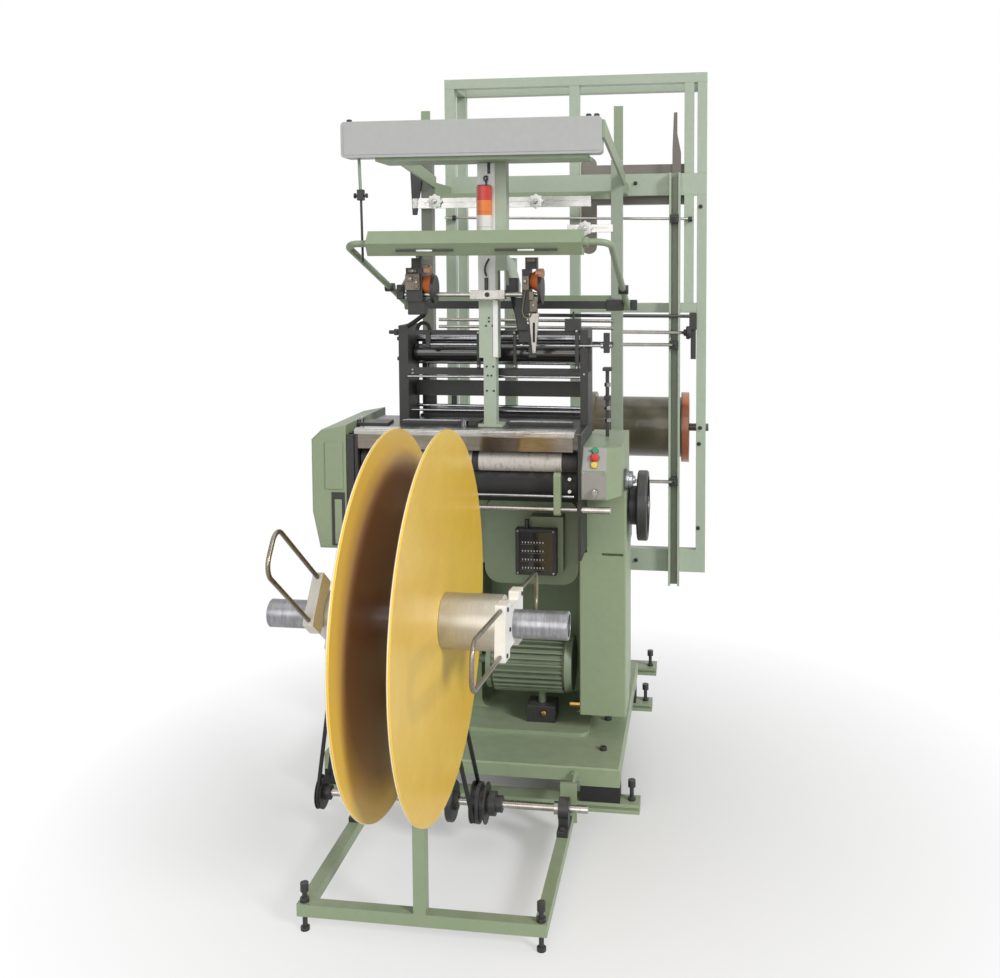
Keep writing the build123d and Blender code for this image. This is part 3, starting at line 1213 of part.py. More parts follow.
for piece in PIECES:
    placed = piece.part.moved(Location((0, -origin_y, 0)))
    placed.label = piece.part.label
    export_step(placed, "parts/" + placed.label + ".step")
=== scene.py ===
"""Power loom with a two-disc take-up reel: its finishes, small fittings, floor, lamps and camera."""

import logging  # noqa: E402
import math  # noqa: E402
from dataclasses import dataclass, field  # noqa: E402
from enum import Enum  # noqa: E402
from typing import Optional, Sequence  # noqa: E402

import bpy  # noqa: E402
from mathutils import Matrix, Vector  # noqa: E402

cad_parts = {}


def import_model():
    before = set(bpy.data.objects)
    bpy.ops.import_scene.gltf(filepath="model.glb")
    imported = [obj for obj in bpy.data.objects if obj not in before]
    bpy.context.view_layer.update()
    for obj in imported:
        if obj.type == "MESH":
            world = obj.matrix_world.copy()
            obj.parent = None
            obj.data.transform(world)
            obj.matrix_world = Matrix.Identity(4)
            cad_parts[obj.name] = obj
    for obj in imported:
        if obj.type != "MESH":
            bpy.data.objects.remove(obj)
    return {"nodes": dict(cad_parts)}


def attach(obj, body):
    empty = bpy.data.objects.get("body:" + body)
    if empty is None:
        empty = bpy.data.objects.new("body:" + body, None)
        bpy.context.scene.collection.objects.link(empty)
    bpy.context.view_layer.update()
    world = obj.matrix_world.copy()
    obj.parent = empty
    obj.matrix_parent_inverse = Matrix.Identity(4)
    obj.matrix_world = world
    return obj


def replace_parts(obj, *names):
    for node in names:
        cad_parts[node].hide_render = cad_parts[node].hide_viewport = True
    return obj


log = logging.getLogger("loom")

Point = tuple[float, float, float]
Box = tuple[Point, Point]
Run = tuple[Point, Point, float]
Profile = Sequence[tuple[float, float]]
Shade = tuple[int, int, int]
Colour = tuple[float, float, float, float]
Piece = bpy.types.Object
Socket = bpy.types.NodeSocket

# Axles, in millimetres measured from under the reel's axle
REEL_Y = 675.0
REEL_Z = 768.0
HAND_Y = 950.0
HAND_Z = 832.0
BEAM_Y = 1925.0
BEAM_Z = 930.0

RIGHT = Vector((1, 0, 0))
FRONT = Vector((0, -1, 0))
BACK = Vector((0, 1, 0))
UP = Vector((0, 0, 1))
DOWN = Vector((0, 0, -1))

WHITE = (1.0, 1.0, 1.0, 1.0)


def mm(x: float, y: float, z: float) -> Vector:
    """Returns a place in metres from millimetres measured from under the reel's axle."""
    return Vector((x, y - REEL_Y, z)) / 1000.0


def srgb(*shade: int) -> Colour:
    """Turns a screen colour into the linear colour that a shader takes.

    Args:
        *shade: Red, green and blue from 0 to 255.

    Returns:
        The linear colour with an alpha of 1.
    """
    shares = [part / 255.0 for part in shade]
    return (*(s / 12.92 if s <= 0.04045 else ((s + 0.055) / 1.055) ** 2.4 for s in shares), 1.0)


def placed(name: str, data: bpy.types.ID) -> Piece:
    """Puts a curve, a camera or a lamp into the scene.

    Args:
        name: The object's name.
        data: What the object shows.

    Returns:
        The object.
    """
    made = bpy.data.objects.new(name, data)
    bpy.context.scene.collection.objects.link(made)
    return made


class Body(Enum):
    """The moving bodies that the pieces ride on."""

    LOOM = "loom"
    REEL = "reel"
    HAND_DRIVE = "hand_drive"
    LAMP = "lamp"


# Shader building


class NodeDesk:
    """Places and joins the nodes of one shader tree."""

    step: tuple[int, int] = (190, 120)
    rows: int = 4

    def __init__(self, tree: bpy.types.NodeTree, effects: Optional["Effects"] = None) -> None:
        """Keeps the tree that nodes are added to, and the shared groups."""
        self.tree, self.effects = tree, effects
        self.column = 0

    def put(self, socket: Socket, value: object) -> None:
        """Joins an output to an input, or sets the input's value.

        Args:
            socket: The input.
            value: An output or a plain value.
        """
        if isinstance(value, bpy.types.NodeSocket):
            self.tree.links.new(value, socket)
        else:
            socket.default_value = value

    def feed(self, node: bpy.types.Node, **named: object) -> None:
        """Fills a node's inputs by name, with spaces as underscores."""
        for key, value in named.items():
            self.put(node.inputs[key.replace("_", " ")], value)

    def add(self, kind: str, *ordered: object, options: Optional[dict] = None,
            **named: object) -> bpy.types.Node:
        """Adds a node, sets its options and fills its inputs.

        Args:
            kind: The node's type without its ShaderNode prefix.
            *ordered: Values or outputs for the first inputs.
            options: Options of the node by attribute name.
            **named: Values or outputs by input name, with spaces as underscores.

        Returns:
            The new node.
        """
        node = self.tree.nodes.new("ShaderNode" + kind)
        node.location = (self.column * self.step[0], -(self.column % self.rows) * self.step[1])
        self.column += 1
        for key, value in (options or {}).items():
            setattr(node, key, value)
        for socket, value in zip(node.inputs, ordered):
            self.put(socket, value)
        self.feed(node, **named)
        return node

    def math(self, operation: str, *values: object, clamp: bool = False) -> Socket:
        """Adds a Math node and returns its result."""
        return self.add("Math", *values, options={"operation": operation, "use_clamp": clamp}).outputs[0]

    def vector(self, operation: str, *values: object, output: int = 0) -> Socket:
        """Adds a Vector Math node and returns its vector, or its value for output 1."""
        return self.add("VectorMath", *values, options={"operation": operation}).outputs[output]

    def noise(self, place: Socket, scale: object, detail: float = 3.0, rough: float = 0.5) -> Socket:
        """Adds a noise texture and returns its grey value."""
        return self.add("TexNoise", Vector=place, Scale=scale, Detail=detail, Roughness=rough).outputs[0]

    def band(self, value: Socket, low: float, high: float, first: float = 0.0, last: float = 1.0) -> Socket:
        """Maps what lies between two limits to a range, and returns it clamped."""
        return self.add("MapRange", value, low, high, first, last, options={"clamp": True}).outputs[0]

    def mix(self, factor: object, first: object, second: object) -> Socket:
        """Mixes two colours.

        Args:
            factor: Share of the second colour.
            first: A colour or an output.
            second: A colour or an output.

        Returns:
            The mixed colour.
        """
        node = self.add("Mix", options={"data_type": "RGBA"})
        for index, value in ((0, factor), (6, first), (7, second)):
            self.put(node.inputs[index], value)
        return node.outputs[2]

    def bump(self, strength: float, distance: float, height: Socket, **normal: Socket) -> Socket:
        """Adds a bump that is given in metres and returns its normal."""
        return self.add("Bump", Strength=strength, Distance=distance, Height=height, **normal).outputs[0]

    def place(self) -> Socket:
        """Returns the place on the object in metres."""
        return self.add("TexCoord").outputs["Object"]

    def split(self, vector: Socket) -> bpy.types.bpy_prop_collection:
        """Returns a vector's X, Y and Z."""
        return self.add("SeparateXYZ", Vector=vector).outputs

    def group(self, effect: bpy.types.NodeTree, **named: object) -> bpy.types.bpy_prop_collection:
        """Places a shared group with this material's own values and returns its outputs."""
        return self.add("Group", options={"node_tree": effect}, **named).outputs

    def zone(self, low: Sequence[float], high: Sequence[float]) -> Socket:
        """Returns 1 between two corners in metres, and 0 elsewhere."""
        return self.group(self.effects.zone, Low=low, High=high)["Mask"]


class Effects:
    """The shader node groups that several finishes share."""

    colours: tuple[str, ...] = ("Colour", "Second", "Worn", "Dust", "Gap")
    vectors: tuple[str, ...] = ("Stretch", "Low", "High", "Normal")

    def __init__(self) -> None:
        """Builds each group once."""
        self.mottle = self._mottle()
        self.wear = self._wear()
        self.dust = self._dust()
        self.brush = self._brush()
        self.weave = self._weave()
        self.zone = self._zone()

    def _new(self, name: str, takes: str, gives: str) -> tuple:
        """Makes an empty group with named sockets.

        Args:
            name: The group's name.
            takes: Names of its inputs.
            gives: Names of its outputs.

        Returns:
            The group's desk, its inputs' sockets and its output node.
        """
        tree = bpy.data.node_groups.new(name, "ShaderNodeTree")
        for side, labels in (("INPUT", takes), ("OUTPUT", gives)):
            for label in labels.split():
                kind = "Color" if label in self.colours else "Vector" if label in self.vectors else "Float"
                tree.interface.new_socket(name=label, in_out=side, socket_type="NodeSocket" + kind)
        return NodeDesk(tree), tree.nodes.new("NodeGroupInput").outputs, tree.nodes.new("NodeGroupOutput")

    def _mottle(self) -> bpy.types.NodeTree:
        """Builds slow changes of tone, fine specks and an orange-peel height.

        Returns:
            The group.
        """
        desk, given, end = self._new(
            "mottle", "Colour Second Amount Roughness Spread Grain", "Colour Roughness Height")
        place = desk.place()
        slow = desk.noise(place, 5.0, 4.0, 0.6)
        small = desk.noise(place, 60.0, 3.0, 0.6)
        both = desk.math("MULTIPLY", desk.math("ADD", slow, small), 0.5)
        share = desk.math("MULTIPLY", desk.band(both, 0.38, 0.62), given["Amount"])
        lift = desk.math("MULTIPLY", desk.math("SUBTRACT", small, 0.5), given["Spread"])
        desk.feed(end, Colour=desk.mix(share, given["Colour"], given["Second"]),
                  Roughness=desk.math("ADD", given["Roughness"], lift, clamp=True),
                  Height=desk.noise(place, given["Grain"], 1.0))
        return desk.tree

    def _wear(self) -> bpy.types.NodeTree:
        """Builds rounded edge normals and a mask of rubbed edges.

        Returns:
            The group.
        """
        desk, given, end = self._new("edge_wear", "Colour Worn Width Amount", "Colour Normal")
        bevel = desk.add("Bevel", options={"samples": 4}, Radius=given["Width"]).outputs[0]
        true = desk.add("NewGeometry").outputs["True Normal"]
        turn = desk.vector("DOT_PRODUCT", bevel, true, output=1)
        broken = desk.band(desk.noise(desk.place(), 45.0, 4.0, 0.7), 0.42, 0.62)
        edge = desk.math("MULTIPLY", desk.band(turn, 0.995, 0.85), broken)
        mask = desk.math("MULTIPLY", edge, given["Amount"], clamp=True)
        desk.feed(end, Colour=desk.mix(mask, given["Colour"], given["Worn"]), Normal=bevel)
        return desk.tree

    def _dust(self) -> bpy.types.NodeTree:
        """Builds thin dust and lint on what faces up.

        Returns:
            The group.
        """
        desk, given, end = self._new("dust", "Colour Dust Amount", "Colour")
        up = desk.band(desk.split(desk.add("NewGeometry").outputs["Normal"])["Z"], 0.5, 0.95)
        patch = desk.band(desk.noise(desk.place(), 30.0, 5.0, 0.7), 0.35, 0.7)
        mask = desk.math("MULTIPLY", desk.math("MULTIPLY", up, patch), given["Amount"], clamp=True)
        desk.feed(end, Colour=desk.mix(mask, given["Colour"], given["Dust"]))
        return desk.tree

    def _brush(self) -> bpy.types.NodeTree:
        """Builds fine turning or grinding lines along a chosen direction.

        Returns:
            The group.
        """
        desk, given, end = self._new(
            "brush", "Colour Second Stretch Roughness Spread", "Colour Roughness Height")
        place = desk.place()
        lines = desk.noise(desk.vector("MULTIPLY", place, given["Stretch"]), 1.0, 3.0, 0.7)
        cloud = desk.noise(place, 14.0, 4.0, 0.6)
        share = desk.band(desk.math("MULTIPLY", lines, cloud), 0.15, 0.36)
        lift = desk.math("MULTIPLY", desk.math("SUBTRACT", lines, 0.5), given["Spread"])
        desk.feed(end, Colour=desk.mix(share, given["Second"], given["Colour"]),
                  Roughness=desk.math("ADD", given["Roughness"], lift, clamp=True), Height=lines)
        return desk.tree

    def _weave(self) -> bpy.types.NodeTree:
        """Builds a plain weave of crossing threads.

        Returns:
            The group.
        """
        desk, given, end = self._new("weave", "Colour Gap Pitch", "Colour Height")
        split = desk.split(desk.place())
        turn = desk.math("ADD", split["Y"], split["Z"])
        waves = [desk.math("SINE", desk.math("MULTIPLY", way, given["Pitch"])) for way in (split["X"], turn)]
        height = desk.band(desk.math("MULTIPLY", *waves), -1.0, 1.0)
        desk.feed(end, Colour=desk.mix(height, given["Gap"], given["Colour"]), Height=height)
        return desk.tree

    def _zone(self) -> bpy.types.NodeTree:
        """Builds a mask of what lies between two corners of a box.

        Returns:
            The group.
        """
        desk, given, end = self._new("zone", "Low High", "Mask")
        place = desk.place()
        above = desk.vector("SUBTRACT", place, given["Low"])
        below = desk.vector("SUBTRACT", given["High"], place)
        split = desk.split(desk.vector("MINIMUM", above, below))
        least = desk.math("MINIMUM", desk.math("MINIMUM", split["X"], split["Y"]), split["Z"])
        desk.feed(end, Mask=desk.math("GREATER_THAN", least, 0.0))
        return desk.tree


def blank(name: str, effects: Optional[Effects] = None) -> tuple[bpy.types.Material, NodeDesk]:
    """Makes a material whose shader tree is still empty.

    Args:
        name: The material's name.
        effects: The shared groups, where it uses them.

    Returns:
        The material and the desk of its tree.
    """
    material = bpy.data.materials.new(name)
    material.use_nodes = True
    material.node_tree.nodes.clear()
    return material, NodeDesk(material.node_tree, effects)


class Finish:
    """A material that is built once and then worn by many pieces."""

    def __init__(self, name: str, slot: str = "") -> None:
        """Keeps the finish's name and the name of the slot that it belongs to."""
        self.name, self.slot = name, slot or name
        self.made: Optional[bpy.types.Material] = None

    def material(self, effects: Effects) -> bpy.types.Material:
        """Returns the material, and builds it on first use.

        Args:
            effects: The shared groups.

        Returns:
            The material.
        """
        if self.made is None:
            self.made, desk = blank(self.name, effects)
            shader = desk.add("BsdfPrincipled")
            desk.feed(shader, **self.surface(desk))
            desk.add("OutputMaterial", shader.outputs[0])
        return self.made

    def surface(self, desk: NodeDesk) -> dict:
        """Builds the nodes that feed the shader, and returns what each input takes."""
        raise NotImplementedError


@dataclass(frozen=True)
class PaintLook:
    """How a painted surface looks, with its shades from 0 to 255."""

    colour: Shade
    second: Shade
    worn: Shade
    roughness: float = 0.42
    grain: float = 900.0
    bump: float = 0.05
    edge: float = 0.0012
    wear: float = 0.55
    dust: float = 0.25
    coat: float = 0.0
    specular: float = 0.5


@dataclass(frozen=True)
class Patch:
    """A box of a piece, in millimetres, that wears another shade."""

    low: Point
    high: Point
    shade: Shade


class Paint(Finish):
    """Sprayed or brushed paint, black oxide and plain plastic, with other shades on some forms."""

    second_share: float = 0.82
    dust_colour: Colour = (0.7, 0.68, 0.62, 1.0)

    def __init__(self, name: str, look: PaintLook, slot: str = "", *patches: Patch) -> None:
        """Keeps the look of the paint and the boxes of other shades."""
        super().__init__(name, slot)
        self.look, self.patches = look, patches

    def surface(self, desk: NodeDesk) -> dict:
        """Joins tone changes, rubbed edges, dust and orange peel.

        Args:
            desk: The material's desk.

        Returns:
            What each input of the shader takes.
        """
        look = self.look
        colour, second = srgb(*look.colour), srgb(*look.second)
        for patch in self.patches:
            mask, bright = desk.zone(mm(*patch.low), mm(*patch.high)), srgb(*patch.shade)
            darker = (*(part * self.second_share for part in bright[:3]), 1.0)
            colour, second = desk.mix(mask, colour, bright), desk.mix(mask, second, darker)
        shared = desk.effects
        tone = desk.group(shared.mottle, Colour=colour, Second=second, Amount=0.55, Roughness=look.roughness,
                          Spread=0.12, Grain=look.grain)
        worn = desk.group(shared.wear, Colour=tone["Colour"], Worn=srgb(*look.worn), Width=look.edge,
                          Amount=look.wear)
        dusty = desk.group(shared.dust, Colour=worn["Colour"], Dust=self.dust_colour, Amount=look.dust)
        return {"Base_Color": dusty["Colour"], "Roughness": tone["Roughness"], "Coat_Weight": look.coat,
                "Specular_IOR_Level": look.specular,
                "Normal": desk.bump(look.bump, 0.0006, tone["Height"], Normal=worn["Normal"])}


@dataclass(frozen=True)
class MetalLook:
    """How a bare metal surface looks, with its shades from 0 to 255."""

    colour: Shade
    second: Shade
    stretch: Point
    roughness: float = 0.28
    spread: float = 0.25
    bump: float = 0.06
    edge: float = 0.0008


class Metal(Finish):
    """Turned, ground or polished metal."""

    def __init__(self, name: str, look: MetalLook, slot: str = "steel") -> None:
        """Keeps the look of the metal."""
        super().__init__(name, slot)
        self.look = look

    def surface(self, desk: NodeDesk) -> dict:
        """Joins tool lines, clouding and bright edges.

        Args:
            desk: The material's desk.

        Returns:
            What each input of the shader takes.
        """
        look, bright = self.look, srgb(*self.look.colour)
        lines = desk.group(desk.effects.brush, Colour=bright, Second=srgb(*look.second), Stretch=look.stretch,
                           Roughness=look.roughness, Spread=look.spread)
        worn = desk.group(desk.effects.wear, Colour=lines["Colour"], Worn=bright, Width=look.edge, Amount=0.8)
        return {"Base_Color": worn["Colour"], "Roughness": lines["Roughness"], "Metallic": 1.0,
                "Normal": desk.bump(look.bump, 0.0003, lines["Height"], Normal=worn["Normal"])}


class DiscLacquer(Finish):
    """Yellow lacquered board as on the reel's discs, with a browner painted shade on the inner faces and a
    pale painted highlight on the rim; its places are in metres.
    """

    # Radii over which the inner faces between the discs go from painted shade, a browner colour, to the plain
    # yellow
    painted_shade_reach: tuple[float, float] = (0.33, 0.4)
    # The pale cream on the left part of each rim face is a painted highlight, over these radii and spans
    # across the reel
    rim_highlight_reach: tuple[float, float] = (0.4318, 0.4325)
    inner_faces: tuple[float, float] = (-0.0576, 0.0576)
    highlight_lips: Profile = ((-0.066, -0.0608), (0.055, 0.0602))

    @staticmethod
    def between(desk: NodeDesk, left: float, right: float) -> Socket:
        """Returns 1 between two places across the reel."""
        return desk.zone((left, -2.0, 0.0), (right, 2.0, 2.0))

    def surface(self, desk: NodeDesk) -> dict:
        """Joins streaks of grain, cloudy lacquer, fine scuffs round the axle, a browner painted shade on the
        inner faces and a pale painted highlight on the rim.

        Args:
            desk: The material's desk.

        Returns:
            What each input of the shader takes.
        """
        place = desk.place()
        split = desk.split(place)
        high = desk.math("SUBTRACT", split["Z"], REEL_Z / 1000.0)
        deep = desk.math("ADD", split["Y"], REEL_Y / 1000.0)
        flat = desk.add("CombineXYZ", deep, high).outputs[0]
        reach = desk.vector("LENGTH", flat, output=1)
        streak = desk.noise(desk.vector("MULTIPLY", flat, (6.0, 160.0, 1.0)), 1.0, 4.0, 0.6)
        cloud = desk.noise(place, 3.2, 4.0, 0.6)
        fine = desk.noise(place, 240.0, 2.0, 0.6)
        grain = desk.mix(desk.band(streak, 0.3, 0.7), srgb(250, 213, 82), srgb(243, 200, 66))
        cloudy = desk.mix(desk.band(cloud, 0.35, 0.7), grain, srgb(233, 186, 58))
        ring = desk.math("SINE", desk.math("MULTIPLY", reach, 900.0))
        scuff = desk.math("MULTIPLY", desk.band(ring, 0.7, 1.0), desk.band(cloud, 0.45, 0.7, 0.0, 0.12))
        outer = desk.mix(scuff, cloudy, srgb(246, 214, 120))
        # Painted shade: inside this ring the inner faces between the discs turn browner, standing in for the
        # shadow that one disc casts on the other
        worn = desk.mix(desk.band(reach, *self.painted_shade_reach), srgb(178, 138, 98), srgb(244, 204, 92))
        faces = desk.mix(self.between(desk, *self.inner_faces), outer, worn)
        # Painted highlight: a pale cream band on the left part of each disc's rim face
        highlight_lips = desk.math("MAXIMUM", *(self.between(desk, *lip) for lip in self.highlight_lips))
        rim = desk.math("MULTIPLY", desk.band(reach, *self.rim_highlight_reach), highlight_lips)
        rough = desk.math("ADD", desk.band(cloud, 0.3, 0.7, 0.24, 0.36), desk.math("MULTIPLY", fine, 0.06))
        return {"Base_Color": desk.mix(rim, faces, srgb(250, 238, 206)), "Roughness": rough,
                "Coat_Weight": 0.35, "Coat_Roughness": 0.18, "Normal": desk.bump(0.05, 0.0004, streak)}


class RollerCloth(Finish):
    """Cloth wound on the press roller, with soft stains and a plain weave."""

    rolls: Profile = ((-333, -26), (-6, 240))

    def surface(self, desk: NodeDesk) -> dict:
        """Joins the weave with stains along the roller.

        Args:
            desk: The material's desk.

        Returns:
            What each input of the shader takes.
        """
        stain = desk.noise(desk.vector("MULTIPLY", desk.place(), (90.0, 26.0, 26.0)), 1.0, 5.0, 0.75)
        base = desk.mix(desk.band(stain, 0.52, 0.68), srgb(232, 228, 222), srgb(150, 134, 126))
        cloth = desk.group(desk.effects.weave, Colour=base, Gap=srgb(168, 160, 151), Pitch=2600.0)
        wound = desk.math("MAXIMUM", *(desk.zone(mm(left, 600, 900), mm(right, 900, 1100))
                                       for left, right in self.rolls))
        return {"Base_Color": desk.mix(wound, srgb(46, 44, 43), cloth["Colour"]),
                "Roughness": desk.band(stain, 0.3, 0.7, 0.55, 0.85), "Sheen_Weight": 0.15,
                "Normal": desk.bump(0.3, 0.0004, cloth["Height"])}


class LampColours(Finish):
    """The signal lamp: a white foot, an orange lens and a red lens, each ribbed, under a dark cap."""

    axis: tuple[float, float] = (0.006, 0.102)
    foot: Shade = (226, 224, 216)
    lenses: tuple[tuple[float, Shade], ...] = (
        (1.7225, (226, 118, 30)), (1.7665, (196, 40, 26)), (1.8085, (60, 58, 56)),
    )

    def surface(self, desk: NodeDesk) -> dict:
        """Picks the lens colour by height and adds fine vertical ribs.

        Args:
            desk: The material's desk.

        Returns:
            What each input of the shader takes.
        """
        split = desk.split(desk.place())
        tall, colour = split["Z"], srgb(*self.foot)
        for start, shade in self.lenses:
            colour = desk.mix(desk.band(tall, start, start + 0.001), colour, srgb(*shade))
        step = desk.math("FRACT", desk.math("MULTIPLY", tall, 22.5))
        ring = desk.math("ABSOLUTE", desk.math("SUBTRACT", step, 0.5))
        turn = desk.math("ARCTAN2", desk.math("SUBTRACT", split["Y"], self.axis[1]),
                         desk.math("SUBTRACT", split["X"], self.axis[0]))
        rib = desk.math("SINE", desk.math("MULTIPLY", turn, 36.0))
        return {"Base_Color": desk.mix(desk.band(ring, 0.47, 0.5, 0.0, 0.5), colour, srgb(90, 50, 30)),
                "Roughness": desk.band(rib, -1.0, 1.0, 0.12, 0.28), "Coat_Weight": 0.4,
                "Normal": desk.bump(0.35, 0.0006, rib)}


# Looks of the paints and plastics
GREEN = PaintLook((140, 155, 125), (132, 146, 116), (98, 107, 84), dust=0.16)
# The green paint dimmed to about 0.86 for the motor: painted shade of the body's bay where the motor sits
MOTOR_SHADED_GREEN = PaintLook((120, 133, 108), (110, 122, 98), (88, 96, 78), 0.45, dust=0.16)
PALE_GREEN = PaintLook((170, 183, 163), (160, 173, 152), (120, 130, 110), dust=0.12)
GREY = PaintLook((180, 181, 179), (172, 173, 171), (140, 141, 139), 0.5, wear=0.3, dust=0.1)
PANEL_GREY = PaintLook((163, 162, 160), (153, 152, 150), (140, 132, 126), 0.5, wear=0.3, dust=0.05)
PANEL_LOW = PaintLook((152, 150, 147), (142, 140, 137), (116, 112, 108), 0.45, wear=0.3, dust=0.05)
BLACK = PaintLook((44, 44, 43), (34, 34, 34), (110, 108, 104), 0.45, bump=0.08, wear=0.5, dust=0.12)
GLOSS = PaintLook((40, 39, 38), (34, 33, 32), (90, 88, 86), 0.2, bump=0.02, wear=0.3, dust=0.05, coat=0.5)
GLASS = PaintLook((24, 26, 26), (18, 20, 20), (40, 42, 42), 0.12, bump=0.01, wear=0.1, dust=0.02, coat=0.6)
RUBBER = PaintLook((34, 33, 32), (26, 26, 26), (62, 60, 58), 0.62, 2200.0, 0.25, wear=0.25, dust=0.18,
                   specular=0.35)
NYLON = PaintLook((238, 237, 234), (229, 227, 222), (240, 236, 226), 0.46, wear=0.3, dust=0.08)
WHITE_PLASTIC = PaintLook((236, 236, 232), (226, 226, 222), (214, 214, 210), 0.35, wear=0.2, dust=0.05)
PEACH = PaintLook((224, 168, 138), (208, 150, 120), (236, 196, 170), 0.4, wear=0.3, dust=0.05)
DARK_BEAM = PaintLook((92, 84, 62), (74, 68, 50), (150, 138, 110), 0.36, wear=0.5, dust=0.15, coat=0.2)

# Shades of the control box's buttons
BUTTONS = {
    "green": ((30, 140, 96), (24, 124, 84), (70, 170, 130)),
    "red": ((206, 40, 26), (186, 32, 22), (226, 90, 70)),
    "yellow": ((224, 196, 80), (210, 180, 66), (240, 222, 150)),
}

# Shades of the forms that look different from the rest of their piece
WEB_GREEN = (132, 138, 120)
BEAM_ORANGE = (190, 100, 52)
HEAD_ORANGE = (206, 104, 46)
# Painted shade: the darker grey on the rear frame's left upright stands in for the shade that falls on it
REAR_SHADE_GREY = (102, 106, 92)
PALE_GREY = (156, 167, 148)
BEAM_GREY = (124, 117, 109)
CAP_BROWN = (110, 101, 95)


class FinishBook:
    """Every finish of the loom, by a plain name."""

    def __init__(self, effects: Effects) -> None:
        """Lists the finishes, each of which is built when it is first worn.

        Args:
            effects: The shared groups.
        """
        self.effects = effects
        self.green = Paint("green_paint", GREEN)
        self.grey = Paint("grey_paint", GREY)
        self.black = Paint("black_iron", BLACK)
        self.rubber = Paint("rubber", RUBBER)
        self.nylon = Paint("nylon", NYLON)
        self.beam = Paint("beam_paint", DARK_BEAM, "",
                          Patch((566, 1700, 800), (589.6, 2150, 1120), BEAM_ORANGE))
        self.creel = Paint("creel_paint", PALE_GREEN, "green_paint",
                           Patch((170, 1781.8, 1600), (601, 1850, 1990), BEAM_GREY))
        self.pale_green = Paint("pale_green", PALE_GREEN, "green_paint")
        self.channel = Paint("channel_paint", PALE_GREEN, "green_paint",
                             Patch((524.6, 1706.6, 340), (549.4, 1735, 1920), WEB_GREEN),
                             Patch((500, 1730, 1915), (570, 1750, 2150), CAP_BROWN))
        # The motor wears the dimmed green, which is painted shade
        self.motor = Paint("motor_shaded_green", MOTOR_SHADED_GREEN, "green_paint")
        self.header = Paint("header_paint", GREY, "grey_paint",
                            Patch((-420, 600, 1870), (420, 900, 1889.8), GREEN.colour))
        self.rear = Paint("rear_paint", GREEN, "green_paint",
                          # The left upright's darker grey patch is painted shade
                          Patch((-363, 1400, 0), (-321, 1486, 1941), REAR_SHADE_GREY),
                          Patch((-61, 1400, 0), (-19, 1486, 1700), PALE_GREY),
                          Patch((321, 1400, 0), (363, 1486, 1941), PALE_GREY))
        self.left_head = Paint("left_head_paint", BLACK, "black_iron",
                               Patch((-179.9, 700, 1470), (-154.1, 860, 1590), HEAD_ORANGE))
        self.right_head = Paint("right_head_paint", BLACK, "black_iron",
                                Patch((144.1, 700, 1480), (167.9, 860, 1564), HEAD_ORANGE))
        self.gloss_black = Paint("gloss_roller", GLOSS, "black_iron")
        self.dark_glass = Paint("dark_window", GLASS, "black_iron")
        self.peach = Paint("peach_plastic", PEACH, "red_plastic")
        self.white = Paint("white_plastic", WHITE_PLASTIC, "nylon")
        self.panel = Paint("panel_grey", PANEL_GREY, "grey_paint")
        self.panel_low = Paint("panel_low", PANEL_LOW, "grey_paint")
        self.buttons = {
            name: Paint(f"{name}_button", PaintLook(*shades, 0.25, wear=0.3, dust=0.02, coat=0.4),
                        f"{name}_plastic")
            for name, shades in BUTTONS.items()}
        self.lacquer = DiscLacquer("disc_lacquer", "lacquered_wood")
        self.cloth = RollerCloth("roller_cloth", "cloth")
        self.lamp = LampColours("signal_lenses", "red_plastic")
        self.steel = Metal(
            "turned_steel", MetalLook((184, 180, 174), (150, 146, 140), (900.0, 60.0, 60.0), 0.3))
        self.flat_steel = Metal(
            "ground_steel", MetalLook((196, 194, 190), (166, 164, 160), (30.0, 700.0, 700.0), 0.26))
        self.core_steel = Metal(
            "core_steel", MetalLook((192, 190, 184), (172, 169, 161), (1100.0, 40.0, 40.0), 0.4, 0.2))
        self.wire = Metal(
            "wire_steel", MetalLook((150, 142, 130), (112, 104, 94), (300.0, 300.0, 300.0), 0.34))
        self.brass = Metal(
            "brass", MetalLook((196, 160, 96), (160, 124, 66), (500.0, 500.0, 60.0), 0.3))
        self.mirror = Metal(
            "polished_face",
            MetalLook((150, 142, 130), (128, 120, 108), (20.0, 300.0, 300.0), 0.1, 0.08, 0.02))
        self.table = Metal(
            "table_steel", MetalLook((122, 119, 112), (84, 82, 78), (30.0, 700.0, 700.0), 0.32))
        self.dull_steel = Metal(
            "dull_steel", MetalLook((122, 112, 100), (92, 84, 74), (300.0, 300.0, 300.0), 0.42))
        self.chrome = Metal(
            "chrome", MetalLook((164, 164, 168), (134, 134, 138), (200.0, 30.0, 30.0), 0.2, 0.1, 0.02),
            "chrome")
        self.axle = Metal(
            "axle_steel", MetalLook((158, 158, 161), (124, 124, 127), (160.0, 26.0, 26.0), 0.36, 0.12, 0.02),
            "chrome")


# Modelling


